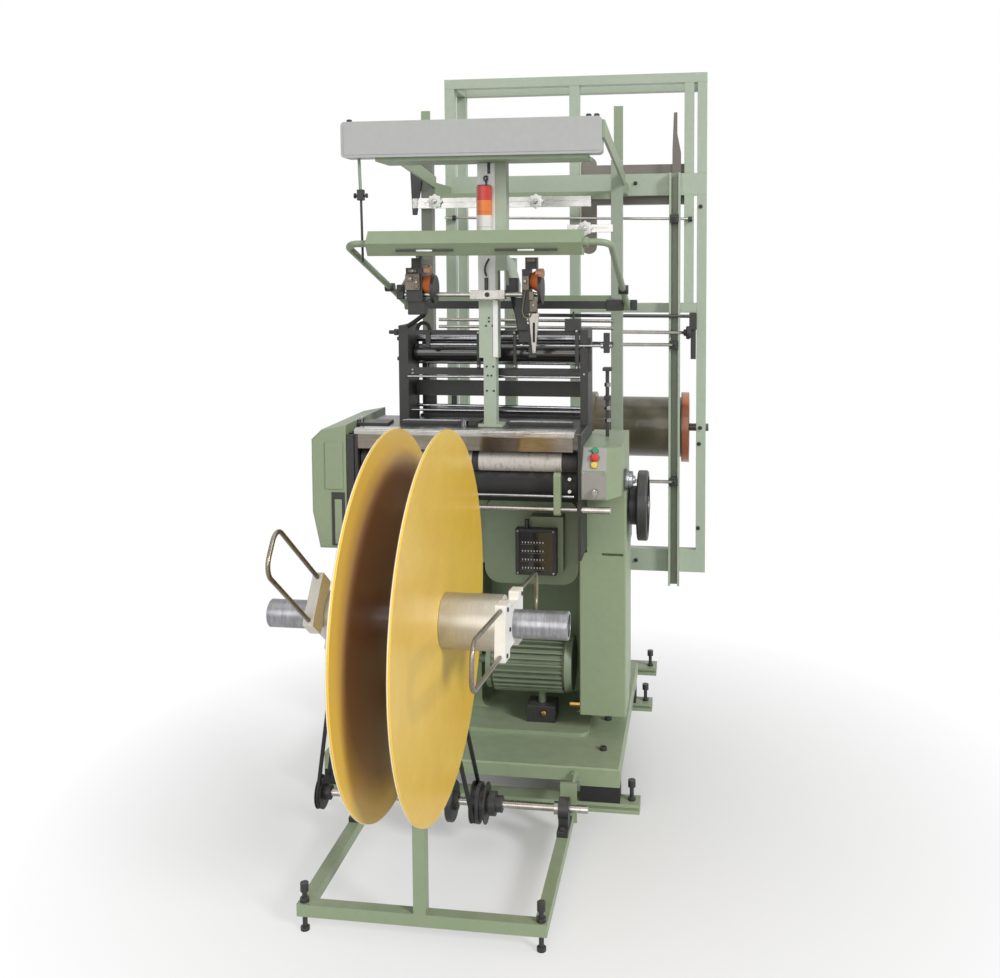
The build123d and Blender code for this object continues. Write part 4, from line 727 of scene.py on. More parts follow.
class Workbench:
    """Adds primitives at their size and place and shapes them in edit mode, as by hand."""

    @staticmethod
    def start() -> None:
        """Leaves edit mode and deselects everything."""
        if bpy.context.mode != "OBJECT":
            bpy.ops.object.mode_set(mode="OBJECT")
        bpy.ops.object.select_all(action="DESELECT")

    @staticmethod
    def settle(name: str) -> Piece:
        """Names the active object and puts its place into its mesh.

        Args:
            name: The piece's plain name.

        Returns:
            The piece, at the origin, unturned and unscaled.
        """
        piece = bpy.context.active_object
        piece.name = name
        piece.data.name = name
        bpy.ops.object.transform_apply(location=True, rotation=True, scale=True)
        return piece

    @staticmethod
    def pick(piece: Piece, way: Vector, share: float = 0.9) -> None:
        """Selects the faces that look one way and stays in edit mode.

        Args:
            piece: The piece.
            way: The way that the faces look.
            share: How nearly they look that way, up to 1.
        """
        bpy.context.tool_settings.mesh_select_mode = (False, False, True)
        bpy.ops.object.mode_set(mode="EDIT")
        bpy.ops.mesh.select_all(action="DESELECT")
        bpy.ops.object.mode_set(mode="OBJECT")
        for face in piece.data.polygons:
            face.select = face.normal.dot(way) > share
        bpy.ops.object.mode_set(mode="EDIT")

    def slab(self, name: str, middle: Point, size: Point, tilt: float = 0.0, edge: float = 1.0,
             segments: int = 2, taper: Optional[tuple[Vector, Point, Point]] = None) -> Piece:
        """Makes a box with softened edges, tilted about X, and draws one end in if asked.

        Args:
            name: The piece's name.
            middle: Its middle in millimetres.
            size: Its sides in millimetres.
            tilt: Its turn about X in radians.
            edge: Bevel of every edge in millimetres.
            segments: Bevel segments.
            taper: The direction of the end, its scale, and its slide in millimetres.

        Returns:
            The piece.
        """
        self.start()
        bpy.ops.mesh.primitive_cube_add(size=1.0, location=mm(*middle), rotation=(tilt, 0.0, 0.0))
        bpy.context.active_object.scale = Vector(size) / 1000.0
        piece = self.settle(name)
        if taper:
            way, grow, slide = taper
            self.pick(piece, way)
            bpy.ops.transform.resize(value=grow)
            bpy.ops.transform.translate(value=Vector(slide) / 1000.0)
            bpy.ops.object.mode_set(mode="OBJECT")
        bpy.ops.object.mode_set(mode="EDIT")
        bpy.ops.mesh.select_all(action="SELECT")
        bpy.ops.mesh.bevel(offset=edge / 1000.0, segments=segments, affect="EDGES")
        bpy.ops.object.mode_set(mode="OBJECT")
        return piece

    def block(self, name: str, low: Point, high: Point, edge: float = 1.0, segments: int = 2,
              taper: Optional[tuple[Vector, Point, Point]] = None) -> Piece:
        """Makes an upright box between two corners in millimetres."""
        first, last = Vector(low), Vector(high)
        return self.slab(name, (first + last) / 2, last - first, 0.0, edge, segments, taper)

    def cut(self, piece: Piece, *tools: Piece) -> Piece:
        """Cuts other pieces out of a piece and removes them.

        Args:
            piece: The piece that stays.
            *tools: The pieces that are cut away from it.

        Returns:
            The piece with its holes.
        """
        for tool in tools:
            self.start()
            piece.select_set(True)
            bpy.context.view_layer.objects.active = piece
            hole = piece.modifiers.new("hole", "BOOLEAN")
            hole.operation = "DIFFERENCE"
            hole.solver = "EXACT"
            hole.object = tool
            bpy.ops.object.modifier_apply(modifier="hole")
            bpy.data.objects.remove(tool)
        return piece

    def turned(self, name: str, foot: Point, axis: Vector, profile: Profile, sides: int = 32) -> Piece:
        """Makes a turned piece by extruding a disc along its axis, ring by ring.

        Args:
            name: The piece's name.
            foot: Start of the axis in millimetres.
            axis: Direction of the axis.
            profile: Distance along the axis and radius of each ring, in millimetres.
            sides: Sides of each ring.

        Returns:
            The piece, smooth where it is round.
        """
        self.start()
        way = Vector(axis).normalized()
        along, radius = profile[0]
        centre = mm(*foot) + way * along / 1000.0
        turn = way.to_track_quat("Z", "Y").to_euler()
        bpy.ops.mesh.primitive_circle_add(vertices=sides, radius=radius / 1000.0, fill_type="NGON",
                                          location=centre, rotation=turn)
        piece = self.settle(name)
        bpy.ops.object.mode_set(mode="EDIT")
        bpy.ops.mesh.select_all(action="SELECT")
        for reach, size in profile[1:]:
            step = way * (reach - along) / 1000.0
            bpy.ops.mesh.extrude_region_move(TRANSFORM_OT_translate={"value": step})
            centre = centre + step
            bpy.ops.transform.resize(value=[size / radius] * 3, center_override=centre)
            along, radius = reach, size
        bpy.ops.mesh.select_all(action="SELECT")
        bpy.ops.mesh.remove_doubles(threshold=0.000002)
        bpy.ops.mesh.normals_make_consistent(inside=False)
        bpy.ops.object.mode_set(mode="OBJECT")
        bpy.ops.object.shade_smooth_by_angle(angle=math.radians(32))
        return piece

    def rod(self, name: str, first: Point, last: Point, radius: float, sides: int = 20) -> Piece:
        """Makes a round rod with softened ends.

        Args:
            name: The piece's name.
            first: One end in millimetres.
            last: The other end in millimetres.
            radius: Radius in millimetres.
            sides: Sides of each ring.

        Returns:
            The piece.
        """
        way, soft = Vector(last) - Vector(first), 0.6
        far = way.length
        ends = [(0.0, radius - soft), (soft, radius), (far - soft, radius), (far, radius - soft)]
        return self.turned(name, first, way, ends, sides)

    def rods(self, name: str, runs: Sequence[Run], sides: int = 16) -> Piece:
        """Makes several straight rods as one piece."""
        return self.joined([self.rod(name, *run, sides) for run in runs])

    def heads(self, name: str, places: Sequence[Point], way: Vector, radius: float, sides: int = 18) -> Piece:
        """Makes socket-head screws that all look one way.

        Args:
            name: Name of the joined piece.
            places: Where each head sits, in millimetres.
            way: The direction that the heads look in.
            radius: Radius of a head in millimetres.
            sides: Sides of each ring.

        Returns:
            The joined piece.
        """
        deep = radius * 0.9
        socket = deep * 0.45
        one = self.turned(name, places[0], way, [
            (-0.5, radius - 0.4), (0.0, radius), (deep - 0.5, radius), (deep, radius - 0.6),
            (deep, radius * 0.55), (socket, radius * 0.5), (socket, 0.3)], sides)
        return self.spread(one, places)

    def pipe(self, name: str, points: Sequence[Point], radius: float) -> Piece:
        """Makes a smoothly bent round bar as a bevelled path that is then made a mesh.

        Args:
            name: The piece's name.
            points: Control points of the bar's centre line in millimetres.
            radius: Radius of the bar in millimetres.

        Returns:
            The piece.
        """
        self.start()
        curve = bpy.data.curves.new(name, "CURVE")
        curve.dimensions = "3D"
        curve.bevel_depth = radius / 1000.0
        curve.bevel_resolution = 4
        curve.use_fill_caps = True
        spline = curve.splines.new("NURBS")
        spline.points.add(len(points) - 1)
        for spot, place in zip(spline.points, points):
            spot.co = (*mm(*place), 1.0)
        spline.order_u = 3
        spline.use_endpoint_u = True
        spline.resolution_u = 6
        piece = placed(name, curve)
        bpy.context.view_layer.objects.active = piece
        piece.select_set(True)
        bpy.ops.object.convert(target="MESH")
        piece = self.settle(name)
        bpy.ops.object.shade_smooth_by_angle(angle=math.radians(40))
        return piece

    @staticmethod
    def twin(piece: Piece, move: Matrix) -> Piece:
        """Copies a piece and moves the copy's mesh.

        Args:
            piece: The piece, modelled once.
            move: The copy's move in metres.

        Returns:
            The copy.
        """
        copy = piece.copy()
        copy.data = piece.data.copy()
        copy.data.transform(move)
        bpy.context.scene.collection.objects.link(copy)
        return copy

    def copies(self, piece: Piece, offsets: Sequence[Point]) -> Piece:
        """Copies a piece by several moves in millimetres and joins all of them."""
        moves = [Matrix.Translation(Vector(offset) / 1000.0) for offset in offsets]
        return self.joined([piece, *(self.twin(piece, move) for move in moves)])

    def spread(self, piece: Piece, places: Sequence[Point]) -> Piece:
        """Copies a piece from the first of some places to the others and joins all of them."""
        return self.copies(piece, [Vector(place) - Vector(places[0]) for place in places[1:]])

    def joined(self, pieces: Sequence[Piece]) -> Piece:
        """Joins pieces of one finish and body into the first of them.

        Args:
            pieces: The pieces.

        Returns:
            The joined piece.
        """
        self.start()
        for piece in pieces:
            piece.select_set(True)
        bpy.context.view_layer.objects.active = pieces[0]
        if len(pieces) > 1:
            bpy.ops.object.join()
        return pieces[0]


@dataclass
class Shop(Workbench):
    """The workbench, with the finishes and the CAD nodes at hand."""

    book: FinishBook
    nodes: dict

    def dress(self, piece: Piece, finish: Finish) -> None:
        """Puts a finish on a piece or a CAD node."""
        piece.data.materials.clear()
        piece.data.materials.append(finish.material(self.book.effects))

    def add(self, finish: Finish, *pieces: Piece, body: Body = Body.LOOM) -> Piece:
        """Joins new pieces, dresses them, lets them ride on their body and reports them.

        Args:
            finish: What they wear.
            *pieces: The pieces, of which the first gives its name.
            body: The body that they ride on.

        Returns:
            The joined piece.
        """
        piece = self.joined(pieces)
        self.dress(piece, finish)
        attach(piece, body.value)
        log.info("piece %s on %s, %d faces", piece.name, body.value, len(piece.data.polygons))
        return piece


@dataclass
class Fittings:
    """A sub-assembly, and the shop that it is built in."""

    shop: Shop

    def build(self) -> None:
        """Builds and dresses the sub-assembly."""
        raise NotImplementedError


@dataclass
class FrameFinishes(Fittings):
    """The finishes of all CAD nodes."""

    green: tuple[str, ...] = (
        "take_up_stand", "base_casting", "floor_rails", "loom_body", "left_cover", "lower_cover",
        "upper_cover", "control_box", "counter_box", "header_arms", "lamp_bar", "press_lever",
    )
    black: tuple[str, ...] = (
        "levelling_bolts", "pillow_blocks", "plain_wheel", "double_pulley", "side_pulley", "mandrel_bearing",
        "mandrel_pulley", "left_side_plate", "right_side_plate", "lamp_support", "harness_frame", "handwheel",
        "front_heald_frame", "back_heald_frame",
    )
    rubber: tuple[str, ...] = ("rubber_pads", "reel_belt", "side_belt", "take_up_roller")
    steel: tuple[str, ...] = ("transmission_shaft", "lever_shaft", "head_rod", "main_shaft")

    def build(self) -> None:
        """Dresses every CAD node."""
        book = self.shop.book
        for names, finish in (
            (self.green, book.green), (self.black, book.black), (self.rubber, book.rubber),
            (self.steel, book.steel), (["mandrel"], book.axle), (["left_disc", "right_disc"], book.lacquer),
            (["left_core", "right_core"], book.core_steel), (["left_block", "right_block"], book.nylon),
            (["left_arms", "right_arms"], book.wire), (["breast_plate"], book.table),
            (["motor"], book.motor), (["creel_channel"], book.channel), (["press_roller"], book.cloth),
            (["centre_column"], book.pale_green), (["key_switch"], book.flat_steel),
            (["header_box"], book.header), (["signal_lamp"], book.lamp), (["warp_beam"], book.beam),
            (["rear_frame"], book.rear), (["upper_roller"], book.gloss_black),
            (["left_head"], book.left_head), (["right_head"], book.right_head),
            *(([f"{name}_button"], paint) for name, paint in book.buttons.items()),
        ):
            for name in names:
                self.shop.dress(self.shop.nodes[name], finish)
                log.info("node %s wears %s", name, finish.name)


@dataclass
class HeaderFittings(Fittings):
    """What sits on and hangs from the header: face panel, knobs and the rod that holds the lamp bar."""

    face: Box = ((-392, 688.8, 1898), (355, 690.2, 1986))
    knobs: tuple[Point, ...] = ((-383, 720, 1994), (322, 720, 1994), (345, 720, 1994))
    upper_rod: Box = ((-354, 716, 1892), (-350, 716, 1777))
    lower_rod: Box = ((-350, 716, 1800), (-347, 716, 1588))
    clamp: Box = ((-360, 707, 1768), (-340, 725, 1800))

    def build(self) -> None:
        """Builds the header's fittings."""
        shop, book = self.shop, self.shop.book
        shop.add(book.grey, shop.block("header_face", *self.face, 0.6))
        knob = shop.turned("header_knobs", self.knobs[0], UP,
                           [(-2, 5), (3, 5), (3, 8), (8, 8), (10, 6), (10, 2)], 20)
        shop.add(book.black, shop.spread(knob, self.knobs))
        shop.add(book.green, shop.rod("hanging_rod_upper", *self.upper_rod, 4.5))
        shop.add(book.black, shop.rod("hanging_rod_lower", *self.lower_rod, 3.6))
        screw = [(0, 5), (1, 8), (6, 8), (7, 5), (7, 3), (36, 3), (36, 7), (41, 7), (42, 4)]
        shop.add(book.black, shop.block("rod_clamp", *self.clamp, 2.0),
                 shop.turned("rod_clamp_screw", (-371, 716, 1782), RIGHT, screw, 18))


@dataclass
class YarnBars(Fittings):
    """Slotted bars with tension knobs on the rear frame, and the thin guide rods behind them."""

    long_bar: Box = ((-393, 1437, 1779), (253, 1444.4, 1816))
    short_bar: Box = ((168, 1437, 1688), (330, 1444.4, 1716))
    knobs: tuple[Point, ...] = ((-308, 1437, 1803), (58, 1437, 1799), (232, 1437, 1703))
    rods: tuple[Run, ...] = (
        ((-344, 1728, 1757), (604, 1728, 1743), 5.0), ((358, 1474, 1336), (576, 1735, 1317), 6.5),
        ((358, 1474, 1291), (536, 1706, 1273), 6.5), ((358, 1474, 800), (536, 1706, 753), 6.5),
        ((-300, 1438, 1380), (330, 1438, 1376), 6.0), ((-300, 1438, 1355), (330, 1438, 1351), 6.0),
    )
    dark_rods: tuple[Run, ...] = (
        ((-32, 1450, 1396), (608, 1735, 1379), 6.5), ((-330, 1438, 1300), (330, 1438, 1294), 9.0),
    )

    def slotted(self, name: str, low: Point, high: Point) -> Piece:
        """Makes a flat bar with a long slot pressed into its front.

        Args:
            name: The piece's name.
            low: Lowest corner in millimetres.
            high: Highest corner in millimetres.

        Returns:
            The bar.
        """
        piece = self.shop.block(name, low, high, 0.8)
        self.shop.pick(piece, FRONT, 0.99)
        bpy.ops.mesh.inset(thickness=(high[2] - low[2]) * 0.4 / 1000.0, depth=0.0)
        bpy.ops.transform.resize(value=(0.9, 1.0, 1.0), center_override=(mm(*low) + mm(*high)) / 2)
        bpy.ops.mesh.extrude_region_move(TRANSFORM_OT_translate={"value": (0.0, 0.003, 0.0)})
        bpy.ops.object.mode_set(mode="OBJECT")
        return piece

    def rosette(self, name: str, place: Point) -> Piece:
        """Makes a tension knob with eight lobes.

        Args:
            name: The piece's name.
            place: Middle of the knob's foot in millimetres.

        Returns:
            The knob.
        """
        shop, middle, lobes = self.shop, mm(*place), 8
        body = shop.turned(name, place, FRONT,
                           [(0, 14), (4, 14), (4, 22), (7, 23), (12, 22), (13, 18), (16, 17)])
        lobe = shop.turned(name + "_lobe", Vector(place) + RIGHT * 21, FRONT,
                           [(5, 4), (6, 5.5), (12, 5.5), (13, 4)], 12)
        turns = [Matrix.Rotation(math.tau * step / lobes, 4, "Y") for step in range(1, lobes)]
        there, back = Matrix.Translation(middle), Matrix.Translation(-middle)
        return shop.joined([body, lobe, *(shop.twin(lobe, there @ turn @ back) for turn in turns)])

    def build(self) -> None:
        """Builds the bars, knobs, rods and clamps."""
        shop, book = self.shop, self.shop.book
        shop.add(book.flat_steel, self.slotted("long_slotted_bar", *self.long_bar))
        shop.add(book.flat_steel, self.slotted("short_slotted_bar", *self.short_bar))
        shop.add(book.white, shop.spread(self.rosette("tension_knobs", self.knobs[0]), self.knobs))
        cap = shop.turned("tension_caps", Vector(self.knobs[0]) + FRONT * 13, FRONT,
                          [(0, 10), (6, 10), (8, 8), (8, 4.5), (14, 4.5), (15, 3)], 24)
        shop.add(book.steel, shop.spread(cap, self.knobs))
        shop.add(book.steel, shop.rods("guide_rods", self.rods))
        shop.add(book.black, shop.rods("dark_rods", self.dark_rods))
        collar = shop.turned("rod_collars", (-314, 1728, 1756), RIGHT,
                             [(0, 8), (1, 10), (14, 10), (15, 8)], 18)
        shop.add(book.black, shop.copies(collar, [(838, 0, -12), (900, 0, -14)]))
        bolt = [(0, 8), (6, 8), (7, 7), (7, 4), (3, 4), (3, 0.5)]
        clamp = shop.joined([shop.block("channel_clamps", (520, 1697, 1728), (552, 1734, 1760), 2.0),
                             shop.turned("channel_bolt", (536, 1697, 1744), FRONT, bolt, 16)])
        shop.add(book.black, shop.copies(clamp, [(0, 0, -471), (0, 0, -991)]))
        knob = [(0, 8), (2, 13), (9, 13), (10, 22), (14, 25), (22, 25), (25, 21), (29, 18), (30, 8)]
        shop.add(book.black, shop.block("rod_bracket", (592, 1722, 1328), (619, 1746, 1392), 2.0),
                 shop.turned("rod_knob", (570, 1735, 1317), RIGHT, knob, 24),
                 shop.block("rod_strip", (597, 1736, 1217), (617, 1746, 1342)))
        shop.add(book.black, shop.block("tapered_plate", (-400, 1437, 1756), (-349, 1446, 1924),
                                        taper=(DOWN, (0.32, 1.0, 1.0), (-10, 0, 0))))


@dataclass
class ColumnFittings(Fittings):
    """The bright strip, holes, hook and latch on the centre column."""

    holes: tuple[tuple[float, float], ...] = (
        (13, 1420), (13, 1409), (4, 1396), (24, 1396), (28, 1377), (5, 1274), (25, 1274), (8, 1247),
        (19, 1247), (5, 1201), (26, 1201),
    )
    hook: tuple[Point, ...] = (
        (14, 793, 1838), (6, 790, 1840), (2, 790, 1832), (6, 790, 1824), (13, 791, 1828), (13, 792, 1836),
        (8, 792, 1820), (9, 797, 1812),
    )
    lever: tuple[Point, ...] = ((8, 790, 1545), (2, 786, 1560), (10, 784, 1585), (18, 786, 1596))

    def build(self) -> None:
        """Builds the column's fittings."""
        shop, book = self.shop, self.shop.book
        shop.add(book.white, shop.block("column_strip", (-18.5, 797.8, 1474), (34, 800.2, 1878), 0.6),
                 shop.block("column_strip_low", (25, 797.8, 1303), (39.5, 800.2, 1473.5), 0.6))
        holes = [(across, 799.4, tall) for across, tall in self.holes]
        dot = shop.turned("column_holes", holes[0], FRONT, [(0, 3.2), (0.9, 3.2), (0.9, 2.2), (0.4, 1.8)], 14)
        shop.add(book.black, shop.spread(dot, holes))
        shop.add(book.black, shop.block("strip_hook", (12, 796.9, 1846), (21, 798.2, 1879), 0.5),
                 shop.pipe("hook_wire", self.hook, 2.2))
        shop.add(book.black, shop.block("strip_latch", (2, 788, 1492), (12, 798, 1540), 2.0),
                 shop.pipe("strip_latch_lever", self.lever, 3.0))
        shop.add(book.black, shop.turned("rod_block_screw", (14, 770.5, 1490), FRONT,
                                         [(0, 7), (5, 7), (6, 6), (6, 3.5), (2, 3.5), (2, 0.5)], 16))


@dataclass
class LampFittings(Fittings):
    """Slots with their tube ends in the lamp bar's underside, its collars, joints and clamp."""

    slots: tuple[tuple[str, float, float], ...] = (("left", -230, -60), ("right", 60, 240))

    def build(self) -> None:
        """Builds the lamp bar's fittings."""
        shop, book = self.shop, self.shop.book
        for place, left, right in self.slots:
            slot = shop.block(f"lamp_slot_{place}", (left, 652.2, 1617), (right, 655.5, 1623), 0.8)
            shop.add(book.black, slot, body=Body.LAMP)
            tube = shop.turned(f"lamp_tube_{place}", ((left + right) / 2 - 24, 653.5, 1619.5), RIGHT,
                               [(0, 1.8), (2, 3.0), (46, 3.0), (48, 1.8)], 14)
            shop.add(book.white, tube, body=Body.LAMP)
        collar = shop.turned("lamp_collars", (306, 690, 1641), RIGHT,
                             [(0, 13), (2, 15), (16, 15), (18, 12)], 24)
        shop.add(book.green, shop.copies(collar, [(-634, 0, 0)]), body=Body.LAMP)
        shop.add(book.black, shop.rod("lamp_joints", (379, 1062, 1496.5), (410, 1062, 1496.5), 15.0),
                 shop.rod("joint_left", (-376, 1037, 1506), (-346, 1037, 1506), 14.0), body=Body.LAMP)
        shop.add(book.black, shop.block("support_clamp", (328, 1183, 1424), (384, 1232, 1461), 2.0),
                 shop.block("clamp_plate", (380, 1220, 1424), (428, 1232, 1459), 2.0))


@dataclass
class HarnessFittings(Fittings):
    """Bright rods, dark posts, clamps, hoses and screws of the weaving unit."""

    bright: tuple[Run, ...] = (
        ((-192, 866, 1335), (-31, 866, 1335), 4.2), ((76, 866, 1332), (376, 866, 1333), 4.2),
        ((-258, 866, 1235), (279, 866, 1237), 4.0), ((-258, 985, 1345), (279, 985, 1345), 11.0),
        ((-258, 985, 1269), (279, 985, 1267), 5.5), ((-258, 960, 1134), (279, 960, 1130), 5.0),
        ((-258, 975, 1116), (279, 975, 1114), 4.0), ((-258, 890, 1128), (279, 890, 1128), 3.0),
    )
    posts: tuple[Box, ...] = (
        ((-38, 858, 1262), (-28, 872, 1378)), ((75, 858, 1262), (84, 872, 1378)),
        ((264, 858, 1256), (275, 872, 1384)), ((300, 876, 1254), (311, 892, 1356)),
        ((348, 944, 1044), (359, 956, 1254)), ((-198, 859, 1326), (-184, 873, 1372)),
        ((232, 864, 1376), (281, 884, 1414)), ((350, 858, 1312), (368, 878, 1372)),
        ((-232, 992, 1128), (-200, 1000, 1160)), ((-150, 992, 1128), (-134, 1000, 1160)),
        ((344, 934, 1160), (364, 966, 1172)), ((340, 930, 1250), (368, 970, 1260)),
    )
    rail_heads: tuple[Point, ...] = (
        (-243, 870, 1256), (-243, 870, 1245), (-33, 858, 1270), (-33, 858, 1372), (79, 858, 1270),
        (79, 858, 1372), (269, 858, 1268), (269, 858, 1378), (290, 870, 1246), (290, 870, 1330),
    )
    side_heads: tuple[Point, ...] = ((-287, 877, 1351), (-287, 877, 1289))
    rings: tuple[float, ...] = (95, 262, 340, 362)
    caps: tuple[float, ...] = (1090, 1128, 1200)
    hoses: tuple[tuple[float, tuple[Point, ...]], ...] = (
        (7.0, ((-205, 800, 1474), (-190, 815, 1462), (-190, 832, 1430), (-214, 848, 1416), (-238, 862, 1400),
               (-262, 880, 1388))),
        (6.0, ((-230, 877, 1374), (-226, 877, 1394), (-208, 877, 1402), (-192, 877, 1394),
               (-188, 877, 1374))),
        (8.0, ((76, 850, 1492), (80, 852, 1450), (100, 864, 1404), (132, 877, 1374))),
    )

    def build(self) -> None:
        """Builds the weaving unit's fittings."""
        shop, book = self.shop, self.shop.book
        shop.add(book.chrome, shop.rods("harness_rods", self.bright, 18))
        shop.add(book.black, *(shop.block("harness_posts", *post) for post in self.posts),
                 shop.rod("harness_rod_end", (-318, 877, 1371), (-280, 877, 1371), 6.0),
                 shop.rod("harness_nut", (-302, 877, 1371), (-290, 877, 1371), 10.0, 6),
                 shop.rod("harness_top_pin", (258, 874, 1412), (258, 874, 1436), 3.0))
        shop.add(book.steel, shop.heads("rail_screws", self.rail_heads, FRONT, 3.4, 12))
        shop.add(book.black, shop.heads("side_screws", self.side_heads, -RIGHT, 6.0))
        ring, cap = [(0, 5), (1, 8), (9, 8), (10, 5)], [(0, 5), (1, 10), (12, 10), (13, 5)]
        shop.add(book.chrome,
                 *(shop.turned("rod_rings", (x, 866, 1333), RIGHT, ring, 18) for x in self.rings),
                 *(shop.turned("post_cap", (354, 950, z), UP, cap, 18) for z in self.caps))
        shop.add(book.rubber, *(shop.pipe("harness_hoses", points, radius) for radius, points in self.hoses))


@dataclass
class HeadFittings(Fittings):
    """Metal housings, cones, guides and brackets of the two weft heads."""

    steel: tuple[Box, ...] = (
        ((-230, 752, 1504), (-186, 762, 1552)), ((-226, 748, 1530), (-206, 754, 1546)),
        ((-200, 748, 1508), (-190, 754, 1540)), ((-222, 756, 1556), (-196, 762, 1566)),
        ((-178, 756, 1568), (-160, 790, 1580)), ((122, 752, 1504), (142, 762, 1545)),
        ((126, 748, 1522), (136, 754, 1540)), ((144, 750, 1440), (166, 763, 1472)),
        ((142, 752, 1474), (156, 762, 1500)), ((134, 757, 1586), (160, 767, 1597)),
    )
    wire: tuple[Point, ...] = ((132, 756, 1506), (121, 755, 1450), (124, 755, 1428), (130, 755, 1422),
                               (146, 757, 1424), (150, 760, 1446))
    screws: tuple[Point, ...] = ((-214, 748, 1538), (-195, 748, 1528), (131, 748, 1530), (155, 750, 1460),
                                 (-208, 756, 1561))

    def build(self) -> None:
        """Builds the fittings of both heads."""
        shop, book = self.shop, self.shop.book
        steel = [shop.block("head_steel", *box) for box in self.steel]
        strap = shop.block("head_strap", (139, 761, 1318), (170, 768.5, 1437), 0.8,
                           taper=(DOWN, (0.3, 1.0, 1.0), (0, 0, 0)))
        slot = shop.block("strap_slot", (151, 757, 1350), (158, 772, 1408), 0.5)
        shop.add(book.steel, shop.cut(strap, slot))
        shop.add(book.dull_steel, *steel, shop.pipe("head_wire", self.wire, 2.2))
        shop.add(book.chrome, shop.heads("head_screws", self.screws, FRONT, 4.0, 14))
        right_cap, left_cap = [(0, 8), (1, 14), (22, 15), (25, 10)], [(0, 8), (1, 12), (20, 13), (22, 9)]
        shop.add(book.peach, shop.turned("head_caps", (160, 770, 1552), RIGHT, right_cap, 24),
                 shop.turned("left_cap", (-176, 770, 1566), RIGHT, left_cap, 24))
        shop.add(
            book.black,
            shop.block("head_brackets", (-228, 768, 1430), (-174, 808, 1476), 3.0),
            shop.block("right_bracket", (58, 838, 1487), (94, 868, 1538), 3.0),
            shop.rod("head_strut", (-252, 790, 1507), (-376, 1456, 1606), 6.5),
            shop.block("strut_clamp", (-263, 772, 1476), (-241, 797, 1520), 2.5),
            shop.turned("strut_pin", (-252, 772, 1506), FRONT, [(0, 6), (6, 6), (7, 4)], 16),
            shop.block("strut_lug", (-386, 1446, 1590), (-361.5, 1478, 1622), 2.0),
            shop.block("machine_arm", (74, 846, 1378), (106, 868, 1478), 3.0,
                       taper=(DOWN, (1.0, 1.0, 1.0), (16, 0, 0))),
            shop.block("machine_foot", (92, 854, 1342), (124, 868, 1380), 2.5),
        )


@dataclass
class TableFittings(Fittings):
    """Dark plates, tracks, hub and knob on the weaving table."""

    plates: tuple[tuple[Point, Point, float, float], ...] = (
        ((-398, 790, 1090), (-300, 868, 1100), 0.7, 10), ((-276, 838, 1090), (-70, 868, 1101), 0.9, 0),
        ((60, 838, 1090), (262, 868, 1101), 0.9, 0),
    )
    lines: tuple[Run, ...] = (
        ((-270, 846, 1102), (-74, 846, 1102), 2.0), ((64, 846, 1102), (258, 846, 1102), 2.0),
        ((-262, 860, 1102), (-74, 860, 1102), 1.6), ((64, 860, 1102), (254, 860, 1102), 1.6),
    )

    def build(self) -> None:
        """Builds the table's fittings."""
        shop, book = self.shop, self.shop.book
        plates = [shop.block("table_plates", low, high, 1.5, taper=(BACK, (narrow, 1.0, 1.0), (slide, 0, 0)))
                  for low, high, narrow, slide in self.plates]
        shop.add(book.black, *plates, shop.block("track_block", (-60, 822, 1090), (-20, 866, 1108), 2.0),
                 shop.block("track_back", (-256, 1002, 1090), (280, 1034, 1099)))
        hub = [(0, 13), (14, 13), (15, 11), (15, 5), (20, 5), (21, 3)]
        knob = [(0, 7), (8, 7), (10, 9), (16, 9), (18, 6)]
        shop.add(book.chrome, shop.rods("track_lines", self.lines, 10),
                 shop.turned("track_hub", (-74, 835, 1090), UP, hub, 24),
                 shop.turned("plate_knob", (-386, 800, 1098), UP, knob, 20))


@dataclass
class ReelFittings(Fittings):
    """Set screws in the faces of the nylon blocks."""

    tilts: tuple[tuple[float, float], ...] = ((1.0, 6.4), (-1.0, 37.0))
    face: float = 227.0
    screws: tuple[tuple[float, float], ...] = ((92, 50), (92, -50), (-92, 50), (-92, -50), (60, 0), (-60, 0))
    profile: tuple[tuple[float, float], ...] = ((-0.5, 5), (2.5, 5), (3, 4.4), (3, 2.6), (1, 2.6), (1, 0.4))

    def build(self) -> None:
        """Builds the screws in each block's face."""
        shop, made = self.shop, []
        for side, tilt in self.tilts:
            lean = math.radians(tilt)
            front = Vector((0, -math.cos(lean), math.sin(lean)))
            rise = Vector((0, math.sin(lean), math.cos(lean)))
            for along, up in self.screws:
                spot = Vector((side * self.face, 0, REEL_Z)) + front * along + rise * up
                made.append(shop.turned("block_screws", spot, RIGHT * side, self.profile, 14))
        shop.add(shop.book.black, *made, body=Body.REEL)


